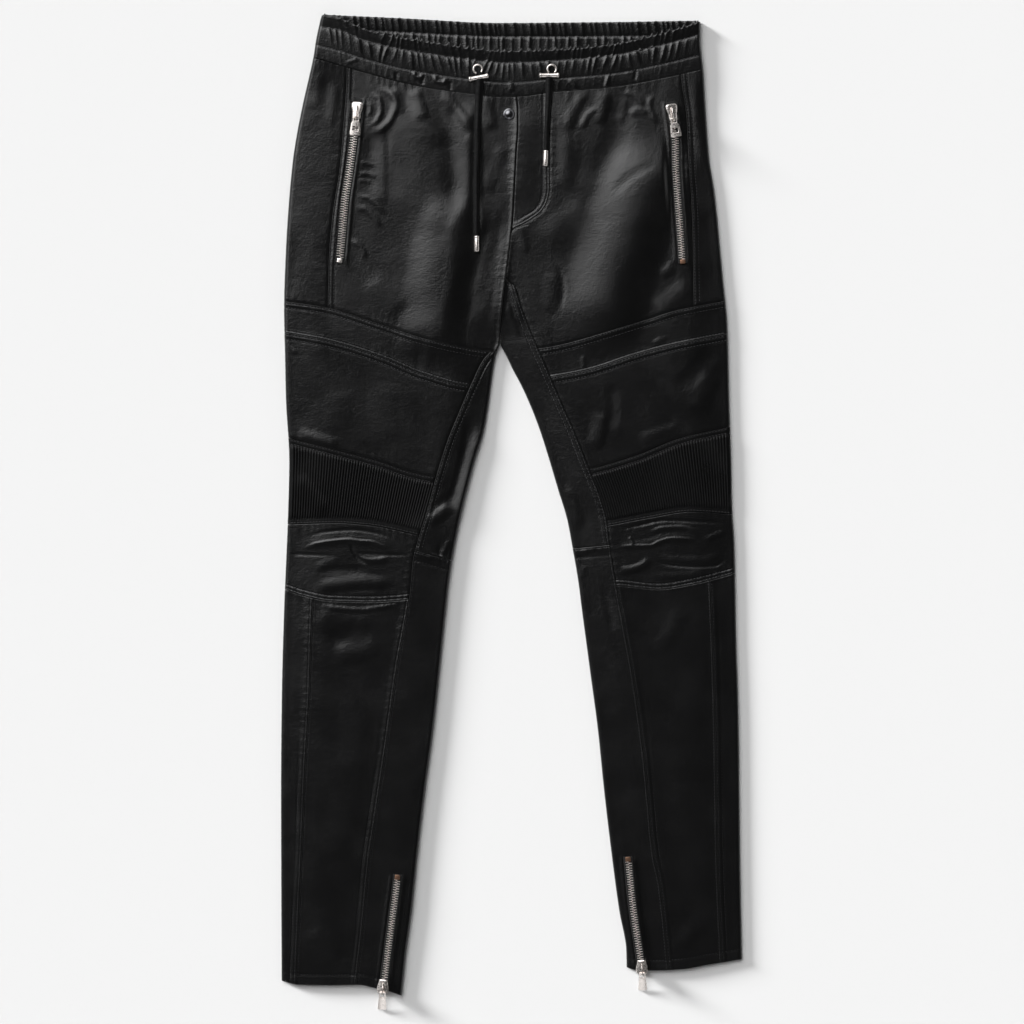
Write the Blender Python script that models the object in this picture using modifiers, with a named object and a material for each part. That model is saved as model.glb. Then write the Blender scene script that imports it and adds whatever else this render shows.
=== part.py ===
"""Black leather biker trousers, laid flat on their back with the front up.

All sizes below are in millimetres and become metres in the meshes. The ground is z = 0,
+Y runs from the hems to the waist, and the origin is under the middle of the garment.
Names ending in _l are at -X and names ending in _r are at +X, as seen from above.

The front is a crowned wall of cut panels that lies on the flat back panels. Along the
outline the front wall turns down to the ground, as the folded edge of a tube of leather.
"""
import math

import bmesh
import bpy
import numpy as np
from mathutils import Matrix, Vector
from mathutils.bvhtree import BVHTree

NAME = "leather_trousers"
MM = 0.001

# Walls and gaps
SEAM = 0.3          # gap between neighbouring pieces
WALL = 2.0          # leather, lining and seam allowance together
BACK_HIGH = 2.0     # top of the flat back panels
FRONT_LOW = BACK_HIGH + SEAM
BAND_LOW = 3.8      # flat inside of the front waistband
BACK_INSET = 4.0    # the back panels stay inside the turned edges by this much
WRAP = 3.2          # width of the turned edge along the outline
# turned edge: distance from the outline, share of the wall's top, share of its inside
EDGE_WRAP = ((0.0, 0.36, 0.0), (1.4, 0.78, 0.45))
CROTCH = (-12.3, 177.0)
CROTCH_RUN = 9.0    # below the crotch the inner edges turn down over this length

# Ribs and gathers
RIBS = 42           # on each knee
RIB_HEIGHT = 0.7
RIB_ROWS = (0, 0.06, 0.28, 0.5, 0.72, 0.94, 1)
GATHERS = 50        # on each waistband
# share of the band's height from the rim down, thickness of the wall, gather height
BAND_ROWS = ((0.0, 2.0, 0.7), (0.14, 2.7, 0.8), (0.29, 2.1, 0.2), (0.49, 2.9, 0.9),
             (0.70, 2.1, 0.2), (0.85, 2.5, 0.5), (1.0, 2.0, 0.1))
BACK_BAND_ROWS = ((0.0, 2.0, 0.6), (0.15, 2.5, 0.8), (0.31, 1.9, 0.2), (0.5, 2.4, 0.8),
                  (1.0, 1.8, 0.0))
RIM_WAVE = 0.8      # how far the gathers push the rim up and down

# Colour, roughness and metallic value of each finish
FINISHES = {
    "black_leather": ((0.012, 0.012, 0.013), 0.45, 0.0),
    "black_tape": ((0.01, 0.01, 0.01), 0.9, 0.0),
    "nickel": ((0.72, 0.70, 0.68), 0.25, 1.0),
    "copper": ((0.42, 0.25, 0.17), 0.4, 1.0),
    "dark_snap": ((0.03, 0.03, 0.032), 0.3, 1.0),
}


def curve(*points):
    """Smooth function through (at, value) points that never overshoots them."""
    at, value = np.array(sorted(points), dtype=float).T
    rise = np.diff(value) / np.diff(at)
    product = rise[:-1] * rise[1:]
    total = np.where(product > 0, rise[:-1] + rise[1:], 1.0)
    slope = np.concatenate(([rise[0]], np.where(product > 0, 2 * product / total, 0.0), [rise[-1]]))

    def read(t):
        t = np.asarray(t, dtype=float)
        k = np.clip(np.searchsorted(at, t) - 1, 0, len(at) - 2)
        span = at[k + 1] - at[k]
        s = np.clip((t - at[k]) / span, 0, 1)
        inside = ((1 + 2 * s) * (1 - s) ** 2 * value[k] + s * (1 - s) ** 2 * span * slope[k]
                  + s * s * (3 - 2 * s) * value[k + 1] - s * s * (1 - s) * span * slope[k + 1])
        before = np.minimum(t - at[0], 0) * slope[0]
        after = np.maximum(t - at[-1], 0) * slope[-1]
        return inside + before + after

    return read


def across(*points):
    """Line that runs across the garment: y as a function of x, from (x, y) points."""
    return curve(*points)


def along(*points):
    """Line that runs down the garment: x as a function of y, from (x, y) points."""
    return curve(*((y, x) for x, y in points))


# Outline, from the waist down
OUTER_L = along((-201, 527.5), (-207, 500), (-210, 481), (-220, 436.5), (-226.5, 404.5),
                (-231.5, 373), (-236, 325), (-239, 277.5), (-241, 214), (-240, 166),
                (-239, 118.5), (-235.5, 55), (-237, -8.5), (-239, -56.5), (-241, -104),
                (-243.5, -199.5), (-244.3, -295), (-244, -411.5), (-243.5, -507))
OUTER_R = along((200, 527.5), (200, 500), (203, 468.5), (205, 436.5), (207, 404.5),
                (209.5, 373), (214.5, 341), (218, 309.5), (221, 277.5), (224, 245.5),
                (228.5, 198), (230.5, 118.5), (232.5, 55), (233.5, 7), (236, -35),
                (238, -136), (240, -199.5), (241, -263), (242, -358.5), (244.3, -485.5))
INNER_L = along((-12.9, 177), (-16.5, 166), (-19.5, 150.5), (-23, 124), (-29, 86.5),
                (-38.5, 55), (-47, 23), (-54.5, -8.5), (-61, -40.5), (-66, -72.5),
                (-69.5, -104), (-76, -167.5), (-83, -231.5), (-91.5, -295), (-99, -358.5),
                (-105.5, -422), (-112, -470), (-116.5, -514.5))
INNER_R = along((-11.8, 177), (-6, 166), (1.5, 150.5), (10, 134.5), (17.5, 118.5),
                (30, 86.5), (40, 55), (49.5, 23), (59, -8.5), (65, -40.5), (70.5, -72.5),
                (74.5, -104), (83, -167.5), (91.5, -231.5), (98, -295), (105.5, -358.5),
                (114, -422), (121.5, -464.5), (122, -485.5))

# Waist lines
FRONT_RIM = across((-201, 527.2), (-185, 525), (-156.5, 513), (-122.5, 504.5), (-86.5, 499),
                   (-44, 492.5), (-7, 489.5), (51.5, 491), (104.5, 496), (147, 505),
                   (173.5, 512), (200, 520.5))
BACK_RIM = across((-201, 527.4), (-116, 523.5), (-12, 518.5), (107.5, 519.5), (200, 521))
WAIST = across((-209.5, 480), (-169, 468.5), (-99, 450.5), (-40, 442), (-7, 438.5),
               (12, 439.5), (45, 444), (104.5, 449), (166, 460), (203, 468.5))
BACK_WAIST = across((-210, 480), (-100, 472), (0, 469), (100, 468), (203, 469))

# Seams of the hips
SIDE_L = along((-174.5, 479), (-174.5, 466), (-177.5, 415.5), (-182, 363.5),
               (-190, 309.5), (-193.5, 265), (-194.5, 216))
SIDE_R = along((178.5, 468.5), (179.5, 457.5), (185, 415.5), (187.5, 363.5),
               (190, 330), (191.5, 281.5), (192.5, 216))
CENTRE = along((4.6, 447), (5.6, 438.5), (6.8, 424), (6.7, 404.5), (5.2, 383.5),
               (3.5, 351.5), (2, 320), (0.5, 300), (-2, 277.5), (-4, 260.5), (-8.5, 226),
               (-11.5, 195), (-12.3, 177))
FLY = ((41, 452.5), (40, 438.5), (40, 341), (37.5, 328.5), (31.5, 318), (20.5, 309.5),
       (9, 303), (2.5, 300), (0.2, 296))

# Seams of the legs that run down
INSEAM_L = along((-20.5, 171.5), (-30, 161), (-43, 134.5), (-56, 104.5), (-69, 72),
                 (-79.5, 38.5), (-90.5, -1.5), (-99, -30), (-104.5, -51), (-107.5, -84),
                 (-121.5, -165.5), (-132, -241), (-144, -321.5), (-150.5, -365.5),
                 (-158.5, -446.5), (-165, -501.5))
GUSSET_R = ((2.8, 239.6), (12, 212), (23, 184), (34.5, 158), (51.5, 118.5))
INSEAM_R = along(*GUSSET_R, (68, 81), (82, 45.5), (93.5, 17), (100.5, -8.5), (104, -36.5),
                 (111, -78.5), (131, -191), (141, -269.5), (150, -362.5), (156.5, -394),
                 (164.5, -468.5), (166, -485.5))
HIP_R_WEST = along(*FLY, (-2, 277.5), (-4, 260.5), (-5.6, 247.6), *GUSSET_R)
SHIN_L = along((-210.5, -83), (-212.5, -136), (-214.5, -197.5), (-218, -259), (-222, -353),
               (-227.5, -477), (-228.5, -503.5))
SHIN_R = along((209.5, -67), (212.5, -136), (215.5, -238), (217.5, -362.5), (222, -472),
               (222.5, -481.5))

# Seams of the legs that run across
THIGH_TOP_L = across((-241, 223), (-194.5, 216), (-138.5, 198.5), (-91, 183), (-54.5, 174.5),
                     (-23, 169.7), (-12, 169))
THIGH_TOP_R = across((19.5, 171.5), (48, 176), (79.5, 184), (143.5, 203.5), (174, 213),
                     (229.5, 224))
THIGH_LOW_L = across((-241, 190), (-197, 182), (-138.5, 164.5), (-96, 147), (-48.5, 134),
                     (-33.5, 132.5))
THIGH_LOW_R = across((30, 141.5), (42, 143), (79.5, 150), (131.5, 166.5), (167, 176),
                     (229.5, 188.5))
KNEE_TOP_L = across((-237, 78.5), (-185.5, 65.5), (-138.5, 53), (-105.5, 42), (-79.5, 37),
                    (-70.5, 36.5))
KNEE_TOP_R = across((72.5, 43), (84.5, 45.5), (131.5, 59.5), (178.5, 78), (233.5, 90.5))
KNEE_LOW_L = across((-238, -13.5), (-185.5, -12), (-150, -14.5), (-103, -24), (-91.5, -26.5))
KNEE_LOW_R = across((94, -16), (103.5, -14.5), (146, -6.5), (190.5, 0), (236, -3))
SHIRR_LOW_L = across((-241, -82), (-221, -88.5), (-190.5, -94.5), (-150, -95.5), (-115, -93.5),
                     (-103.5, -91.5))
SHIRR_LOW_R = across((102.5, -78), (107.5, -78), (155.5, -82), (190.5, -77), (239, -64.5))
CROSS_L = across((-107.5, -38.5), (-104.5, -39.5), (-59, -53))
CROSS_R = across((62, -39), (66.5, -38.5), (106.5, -34.5))
HEM_L = across((-244.5, -496.5), (-225, -501), (-194.5, -501.5), (-161.5, -501), (-144, -504.5),
               (-129, -508), (-115, -513))
HEM_R = across((120.5, -482), (132, -485.5), (147, -486), (180.5, -484.5), (207, -480),
               (244.5, -474))
GUSSET_TOP_R = across((-6.2, 246.6), (2.8, 239.6))

# The space inside the trousers: crown of the front wall at each height, above FRONT_LOW
CROWN = curve((470, 1.6), (400, 2.2), (320, 2.6), (200, 2.6), (60, 2.2), (-60, 2.1),
              (-200, 1.8), (-400, 1.5), (-515, 0.8))
CROWN_RUN = 45.0    # distance from the outline over which the crown rises
WAIST_RUN = 40.0    # below the waist seam the wall comes down from the band over this length

# The largest folds: from x, y, to x, y, half width, height (a valley is negative)
FOLDS = (
    (-218, -32, -125, -35, 9, 2.0),     # knee fold, -X
    (-226, -45, -120, -48, 9, -0.7),
    (-182, -69, -130, -71, 11, 1.1),
    (108, -37, 145, -38, 8, 1.3),       # knee folds, +X
    (165, -29, 236, -33, 9, 1.7),
    (150, -50, 213, -59, 9, 1.5),
    (-122, 405, -62, 225, 32, 1.4),     # hips
    (150, 400, 75, 200, 30, 1.4),
    (-152, 437, -144, 398, 9, 1.5),     # puckers under the waistband
    (-118, 446, -112, 408, 9, 1.0),
    (-86, 444, -84, 405, 9, 1.2),
    (-52, 440, -56, 400, 9, 0.9),
    (72, 443, 66, 402, 9, 1.1),
    (104, 446, 94, 405, 9, 1.2),
    (140, 452, 130, 412, 9, 1.0),
    (-10, 290, -19, 190, 10, 1.1),      # beside the centre seam
    (6, 224, 26, 172, 6, 1.0),          # crotch
    (97, 140, 108, 62, 10, 0.9),        # thighs
    (221, 177, 173, 124, 10, 1.0),
    (-224, 150, -180, 100, 11, 0.8),
    (-60, 10, -72, -36, 9, 0.9),        # insides of the knees
    (76, 20, 88, -30, 9, 0.9),
)


def mix(low, high, share):
    return low + (high - low) * share


def smooth(t):
    t = np.clip(t, 0, 1)
    return t * t * (3 - 2 * t)


def edge_distance(x, y):
    """Distance from the outline, measured across, and round the crotch above it."""
    above = np.hypot(x - CROTCH[0], y - CROTCH[1])
    below = np.maximum(INNER_L(y) - x, x - INNER_R(y))
    inner = np.where(y > CROTCH[1], above, below)
    return np.minimum(np.minimum(x - OUTER_L(y), OUTER_R(y) - x), inner)


def fold_height(x, y):
    total = np.zeros_like(x)
    for x0, y0, x1, y1, half_width, height in FOLDS:
        run = np.array((x1 - x0, y1 - y0), dtype=float)
        share = np.clip(((x - x0) * run[0] + (y - y0) * run[1]) / (run @ run), 0, 1)
        away = np.hypot(x - mix(x0, x1, share), y - mix(y0, y1, share)) / half_width
        total += height * np.clip(1 - away ** 2, 0, 1) ** 2
    return total


def loft(x, y):
    """Inside of the front wall before its folds."""
    crowned = FRONT_LOW + CROWN(y) * smooth(edge_distance(x, y) / CROWN_RUN)
    return mix(BAND_LOW, crowned, smooth((WAIST(x) - y) / WAIST_RUN))


def front_low(x, y):
    return loft(x, y) + 0.5 * np.maximum(fold_height(x, y), 0)


def front_high(x, y):
    return loft(x, y) + WALL + fold_height(x, y)


def shares(count_or_list):
    if isinstance(count_or_list, int):
        return np.linspace(0, 1, count_or_list + 1)
    return np.array(count_or_list)


def patch(west, east, north, south, columns, rows, edges=""):
    """Grid of points between two lines that run down and two that run across.

    A side named in edges, w or e, lies on the outline and has the columns of the turned
    edge; every other side is half a seam gap inside its line.
    """
    u, v = np.meshgrid(shares(columns), shares(rows))
    west_run = WRAP if "w" in edges else 0.0
    east_run = WRAP if "e" in edges else 0.0
    x = np.zeros_like(u)
    for _ in range(40):
        y = mix(north(x), south(x), v)
        x = mix(west(y) + west_run, east(y) - east_run, u)

    def slope_gap(top, bottom):
        return SEAM / 2 * np.hypot(1, np.gradient(top) / np.gradient(bottom))

    if "w" not in edges:
        x[:, 0] += slope_gap(x[:, 0], y[:, 0])
    if "e" not in edges:
        x[:, -1] -= slope_gap(x[:, -1], y[:, -1])
    for side, column, sign in (("w", 0, 1), ("e", -1, -1)):
        if side in edges:
            turned = [x[:, column] + sign * (offset - WRAP) for offset, _, _ in EDGE_WRAP]
            turned_y = [mix(north(line), south(line), v[:, 0]) for line in turned]
            if side == "w":
                x = np.column_stack(turned + [x])
                y = np.column_stack(turned_y + [y])
            else:
                x = np.column_stack([x] + turned[::-1])
                y = np.column_stack([y] + turned_y[::-1])
    y[0] -= slope_gap(y[0], x[0])
    y[-1] += slope_gap(y[-1], x[-1])
    return x, y


def turn_edges(low, high, edges, share):
    """Bring the columns of the turned edges down to the ground."""
    inner = len(EDGE_WRAP)
    for index, (_, high_share, low_share) in enumerate(EDGE_WRAP):
        if "w" in edges:
            high[:, index] = mix(high[:, index], high[:, inner] * high_share, share)
            low[:, index] = mix(low[:, index], low[:, inner] * low_share, share)
        if "e" in edges:
            high[:, -1 - index] = mix(high[:, -1 - index], high[:, -1 - inner] * high_share, share)
            low[:, -1 - index] = mix(low[:, -1 - index], low[:, -1 - inner] * low_share, share)


# Scene
for item in list(bpy.data.objects):
    bpy.data.objects.remove(item, do_unlink=True)


def new_collection(name):
    collection = bpy.data.collections.get(name) or bpy.data.collections.new(name)
    if collection.name not in bpy.context.scene.collection.children:
        bpy.context.scene.collection.children.link(collection)
    return collection


PARTS = new_collection(NAME)
CUTTERS = new_collection(NAME + "_cutters")


def finish_material(slot):
    """Principled material of one finish."""
    material = bpy.data.materials.get(slot) or bpy.data.materials.new(slot)
    color, roughness, metallic = FINISHES[slot]
    material.use_nodes = True
    shader = material.node_tree.nodes["Principled BSDF"]
    shader.inputs["Base Color"].default_value = (*color, 1)
    shader.inputs["Roughness"].default_value = roughness
    shader.inputs["Metallic"].default_value = metallic
    return material


def add_mesh(name, bm, slot, collection=PARTS):
    """New object from a bmesh that is in metres."""
    bmesh.ops.recalc_face_normals(bm, faces=bm.faces[:])
    mesh = bpy.data.meshes.new(name)
    bm.to_mesh(mesh)
    bm.free()
    mesh.shade_smooth()
    mesh.set_sharp_from_angle(angle=math.radians(35))
    mesh.materials.append(finish_material(slot))
    item = bpy.data.objects.new(name, mesh)
    collection.objects.link(item)
    return item


CLOTH = []          # search trees of the front pieces, for what lies on them
FLAT = math.radians(0.05)
INSIDE_STEP = 3     # the inside of a front panel has one face for this many cells each way


def merge_flat(bm, chosen):
    """Merge the faces between these vertices where they are flat."""
    members = set(chosen)
    faces = {face for face in bm.faces if members.issuperset(face.verts)}
    inner = [vert for vert in chosen if faces.issuperset(vert.link_faces)]
    edges = [edge for edge in bm.edges
             if len(edge.link_faces) == 2 and faces.issuperset(edge.link_faces)]
    bmesh.ops.dissolve_limit(bm, angle_limit=FLAT, verts=inner, edges=edges)


def merge_blocks(bm, chosen, place, columns, row_step, column_step, west, east):
    """Merge the faces between these vertices in blocks, apart from the turned edges."""
    members = set(chosen)
    blocks = {}
    for face in bm.faces:
        if members.issuperset(face.verts):
            row, column = divmod(min(vert[place] for vert in face.verts), columns)
            if west <= column < columns - 1 - east:
                block = row // row_step, (column - west) // column_step
                blocks.setdefault(block, []).append(face)
    for faces in blocks.values():
        if len(faces) > 1:
            bmesh.ops.dissolve_faces(bm, faces=faces, use_verts=True)
    for vert in [vert for vert in chosen if vert.is_valid]:
        if len(vert.link_edges) == 2:
            bmesh.utils.vert_dissolve(vert)


def slab_mesh(x, y, low, high, flat=("low",), inside=None, holes=()):
    """Closed sheet over a grid of points: low side, high side and its border walls.

    The faces of a side named in flat are merged. inside says in which blocks the faces of
    the low side are merged. Each hole is a (row, column) cell that is left open.
    """
    rows, columns = x.shape
    bm = bmesh.new()
    place = bm.verts.layers.int.new("place")
    bmesh.ops.create_grid(bm, x_segments=columns - 1, y_segments=rows - 1, size=1)
    for vert in bm.verts:
        column = round((vert.co.x + 1) / 2 * (columns - 1))
        row = round((1 - vert.co.y) / 2 * (rows - 1))
        vert[place] = row * columns + column
    open_faces = [face for face in bm.faces
                  if divmod(min(vert[place] for vert in face.verts), columns) in holes]
    bmesh.ops.delete(bm, geom=open_faces, context="FACES")
    raised = bmesh.ops.extrude_face_region(bm, geom=bm.faces[:])["geom"]
    top = {vert for vert in raised if isinstance(vert, bmesh.types.BMVert)}
    bottom = [vert for vert in bm.verts if vert not in top]
    for vert in bm.verts:
        row, column = divmod(vert[place], columns)
        height = high if vert in top else low
        vert.co = Vector((x[row, column], y[row, column], height[row, column])) * MM
    bmesh.ops.recalc_face_normals(bm, faces=bm.faces[:])
    if "low" in flat:
        merge_flat(bm, bottom)
    if "high" in flat:
        merge_flat(bm, list(top))
    if inside:
        merge_blocks(bm, bottom, place, columns, *inside)
    return bm


def inside_blocks(edges, column_step=INSIDE_STEP):
    """Blocks of the low side of a front panel, between its turned edges."""
    west = len(EDGE_WRAP) if "w" in edges else 0
    east = len(EDGE_WRAP) if "e" in edges else 0
    return INSIDE_STEP, column_step, west, east


def cloth(name, x, y, low, high, flat=(), inside=None):
    """Leather piece of the front, which other pieces can lie on."""
    bm = slab_mesh(x, y, low, high, flat, inside)
    CLOTH.append(BVHTree.FromBMesh(bm))
    return add_mesh(name, bm, "black_leather")


def panel(name, west, east, north, south, columns, rows, edges="", share=1.0):
    """Cut panel of the front between four lines."""
    x, y = patch(west, east, north, south, columns, rows, edges)
    low = front_low(x, y)
    high = front_high(x, y)
    if callable(share):
        share = share(y[:, 0])
    turn_edges(low, high, edges, share)
    return cloth(name, x, y, low, high, inside=inside_blocks(edges))


def below_crotch(y):
    """Share of the turned edge at this height of an inner edge."""
    return np.clip((CROTCH[1] - y) / CROTCH_RUN, 0, 1)


# Rows of the +X hip and fly, closer together at the end of the fly and at the gusset
HIP_ROWS_R = (0, 0.035, 0.07, 0.14, 0.21, 0.29, 0.37, 0.42, 0.46, 0.494, 0.517, 0.53, 0.548, 0.6,
              0.66, 0.71, 0.727, 0.742, 0.757, 0.8, 0.86, 0.93, 1)
HIP_ROWS_L = (0, 0.035, 0.07, 0.14, *np.linspace(0.2, 1, 15))
FLY_ROWS = 12       # of those rows the fly has this many
FLY_RAISED = 0.8    # the fly is two layers
FLY_ROUND = 0.4     # and its edges are rounded down by this much


def hips():
    panel("hip_side_l", OUTER_L, SIDE_L, WAIST, THIGH_TOP_L, 3, 17, edges="w")
    panel("hip_side_r", SIDE_R, OUTER_R, WAIST, THIGH_TOP_R, 2, 17, edges="e")

    def hip_l_east(y):
        return np.where(y > CROTCH[1], CENTRE(y), INNER_L(y))

    panel("hip_front_l", SIDE_L, hip_l_east, WAIST, THIGH_TOP_L, 12, HIP_ROWS_L)
    panel("hip_front_r", HIP_R_WEST, SIDE_R, WAIST, THIGH_TOP_R, 11, HIP_ROWS_R)
    x, y = patch(CENTRE, HIP_R_WEST, WAIST, THIGH_TOP_R, 4, HIP_ROWS_R[:FLY_ROWS])
    high = front_high(x, y) + FLY_RAISED
    high[:, (0, -1)] -= FLY_ROUND
    cloth("fly_placket", x, y, front_low(x, y), high)


def knee_rib(side, west, east, north, south, edges):
    """Knee panel with ribs that run down it, raised on its outer side."""
    x, y = patch(west, east, north, south, 2 * RIBS, RIB_ROWS, edges)
    low = front_low(x, y)
    high = front_high(x, y)
    first = len(EDGE_WRAP) if "w" in edges else 0
    ribs = slice(first + 1, first + 2 * RIBS, 2)
    high[1:-1, ribs] += RIB_HEIGHT
    turn_edges(low, high, edges, 1.0)
    cloth("knee_rib_" + side, x, y, low, high,
          inside=inside_blocks(edges, 10))


def legs():
    # -X leg
    panel("thigh_band_l", OUTER_L, INSEAM_L, THIGH_TOP_L, THIGH_LOW_L, 13, 3, edges="w")
    panel("thigh_panel_l", OUTER_L, INSEAM_L, THIGH_LOW_L, KNEE_TOP_L, 11, 8, edges="w")
    knee_rib("l", OUTER_L, INSEAM_L, KNEE_TOP_L, KNEE_LOW_L, "w")
    panel("knee_shirred_l", OUTER_L, INSEAM_L, KNEE_LOW_L, SHIRR_LOW_L, 11, 11, edges="w")
    panel("shin_outer_l", OUTER_L, SHIN_L, SHIRR_LOW_L, HEM_L, 2, 18, edges="w")
    panel("shin_front_l", SHIN_L, INSEAM_L, SHIRR_LOW_L, HEM_L, 8, 18)
    panel("inner_leg_upper_l", INSEAM_L, INNER_L, THIGH_TOP_L, CROSS_L, 3, 18, edges="e",
          share=below_crotch)
    panel("inner_leg_lower_l", INSEAM_L, INNER_L, CROSS_L, HEM_L, 2, 22, edges="e")
    # +X leg
    panel("thigh_band_r", INSEAM_R, OUTER_R, THIGH_TOP_R, THIGH_LOW_R, 12, 3, edges="e")
    panel("thigh_panel_r", INSEAM_R, OUTER_R, THIGH_LOW_R, KNEE_TOP_R, 11, 8, edges="e")
    knee_rib("r", INSEAM_R, OUTER_R, KNEE_TOP_R, KNEE_LOW_R, "e")
    panel("knee_shirred_r", INSEAM_R, OUTER_R, KNEE_LOW_R, SHIRR_LOW_R, 11, 10, edges="e")
    panel("shin_outer_r", SHIN_R, OUTER_R, SHIRR_LOW_R, HEM_R, 2, 18, edges="e")
    panel("shin_front_r", INSEAM_R, SHIN_R, SHIRR_LOW_R, HEM_R, 8, 18)

    def gusset_west(y):
        return np.where(y > CROTCH[1], CENTRE(y) + SEAM, INNER_R(y))

    panel("inner_leg_upper_r", gusset_west, INSEAM_R, GUSSET_TOP_R, CROSS_R, 3, 22,
          edges="w", share=below_crotch)
    panel("inner_leg_lower_r", INNER_R, INSEAM_R, CROSS_R, HEM_R, 2, 22, edges="w")


# Rows of the backs, closer together at the crotch
BACK_ROWS = (*np.linspace(0, 0.25, 13), 0.275, 0.288, 0.297, 0.305, 0.313, 0.325, 0.34, 0.36,
             *np.linspace(0.39, 1, 24))
BACK_CENTRE = along((-3, 470), (-12.3, 177))


def backs():
    """Plain back of each leg, flat on the ground inside the turned edges."""

    def east_l(y):
        return np.minimum(BACK_CENTRE(y), INNER_L(y) - BACK_INSET)

    def west_r(y):
        return np.maximum(BACK_CENTRE(y), INNER_R(y) + BACK_INSET)

    for side, west, east, hem in (
            ("l", lambda y: OUTER_L(y) + BACK_INSET, east_l, HEM_L),
            ("r", west_r, lambda y: OUTER_R(y) - BACK_INSET, HEM_R)):
        x, y = patch(west, east, BACK_WAIST, hem, 8, BACK_ROWS)
        low = np.zeros_like(x)
        bm = slab_mesh(x, y, low, low + BACK_HIGH, flat=("low", "high"))
        add_mesh("back_leg_" + side, bm, "black_leather")


def gather_shares():
    """Peaks and valleys of the gathers along a band, not quite evenly spaced."""
    step = np.arange(2 * GATHERS + 1)
    drift = 0.3 * np.sin(2.1 * step) * np.sin(math.pi * step / (2 * GATHERS))
    return (step + drift) / (2 * GATHERS)


def gather_wave(columns, first):
    """+1 at the peaks, -1 at the valleys, and flat at the band's two ends."""
    step = np.clip(np.arange(columns) - first, 0, 2 * GATHERS)
    calm = np.clip(np.minimum(step, 2 * GATHERS - step) / 8, 0, 1)
    return np.where(step % 2 == 1, 1.0, -1.0) * calm


def waistbands():
    share, wall, height = np.array(BAND_ROWS).T
    x, y = patch(OUTER_L, OUTER_R, FRONT_RIM, WAIST, gather_shares(), share, "we")
    wave = gather_wave(x.shape[1], len(EDGE_WRAP))
    low = np.full_like(x, BAND_LOW)
    high = low + wall[:, None] + height[:, None] * (0.5 + 0.5 * wave)
    y[0] += RIM_WAVE * wave
    turn_edges(low, high, "we", 1.0)
    cloth("waistband_front", x, y, low, high, ("low",))

    share, wall, height = np.array(BACK_BAND_ROWS).T
    x, y = patch(lambda y: OUTER_L(y) + BACK_INSET, lambda y: OUTER_R(y) - BACK_INSET,
                 BACK_RIM, BACK_WAIST, gather_shares(), share)
    wave = gather_wave(x.shape[1], 0)
    low = np.zeros_like(x)
    high = low + wall[:, None] + height[:, None] * (0.5 + 0.5 * wave)
    y[0] += RIM_WAVE * wave - RIM_WAVE
    add_mesh("waistband_back", slab_mesh(x, y, low, high), "black_leather")


def rest_height(x, y, reach):
    """Highest point of the front pieces within reach of (x, y)."""
    highest = 0.0
    for dx in np.linspace(-reach, reach, 5):
        for dy in np.linspace(-reach, reach, 5):
            start = Vector((x + dx, y + dy, 100)) * MM
            for tree in CLOTH:
                hit = tree.ray_cast(start, Vector((0, 0, -1)))[0]
                if hit is not None:
                    highest = max(highest, hit.z / MM)
    return highest


# Zips
TAPE_HALF = 4.8
TAPE_THICK = 0.8
CHAIN_HALF = 3.2
CHAIN_HIGH = 1.5
STOP_LENGTH = 4.5
STEP = 13.0                     # distance between the stations of a zip
ON_TAPE = SEAM + TAPE_THICK + SEAM      # from the leather up to what lies on the tape
SLIDER_BODY = 2.6
HINGE_OVER_BODY = 2.1
CROWN_HALF = 1.6
CROWN_THICK = 0.9
BAR_ROOM = 1.25                 # from the hinge axis to the crown's inner faces
TONGUE = 2.3                    # the slider's body ends this far beyond the hinge axis
EDGE_DROP = 0.7                 # the slider's rounded long edges
CROWN_SUNK = 0.5                # the crown's feet go this far into the body
CROWN_INSET = 4.5               # and the far foot ends this far before the body does
CROWN_FOOT = 2.0                # thickness of the far foot
TAB_THICK = 1.2
TAB_BAR = 0.7                   # half width of the bar in the pull tab's eye
EYE_HALF = 2.2
EYE_LENGTH = 4.2

# slider body: distance from the hinge axis, half width
SLIDER_WIDE_FAR = ((-TONGUE, 1.7), (-1.3, 1.8), (-1.2, 4.3), (5, 4.6), (11, 6.1), (14, 6.2),
                   (16, 4.6))
SLIDER_WIDE_NEAR = ((-TONGUE, 1.7), (-1.3, 1.8), (-1.2, 5.0), (2, 6.2), (6, 6.0), (10, 4.8),
                    (13.5, 4.2))
# pull tab: distance from the hinge axis, half width; window: from, to, half width
POCKET_TAB = dict(shape=((-TAB_BAR, 4.1), (TAB_BAR, 4.3), (EYE_LENGTH, 4.4), (11.2, 5.2),
                         (14.8, 5.6), (18.0, 5.7), (19.0, 5.0)), window=3.3)
ANKLE_TAB = dict(shape=((-TAB_BAR, 4.2), (TAB_BAR, 4.5), (EYE_LENGTH, 4.6), (12, 4.7),
                        (20.2, 4.8), (21.0, 4.3)), window=None)

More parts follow.
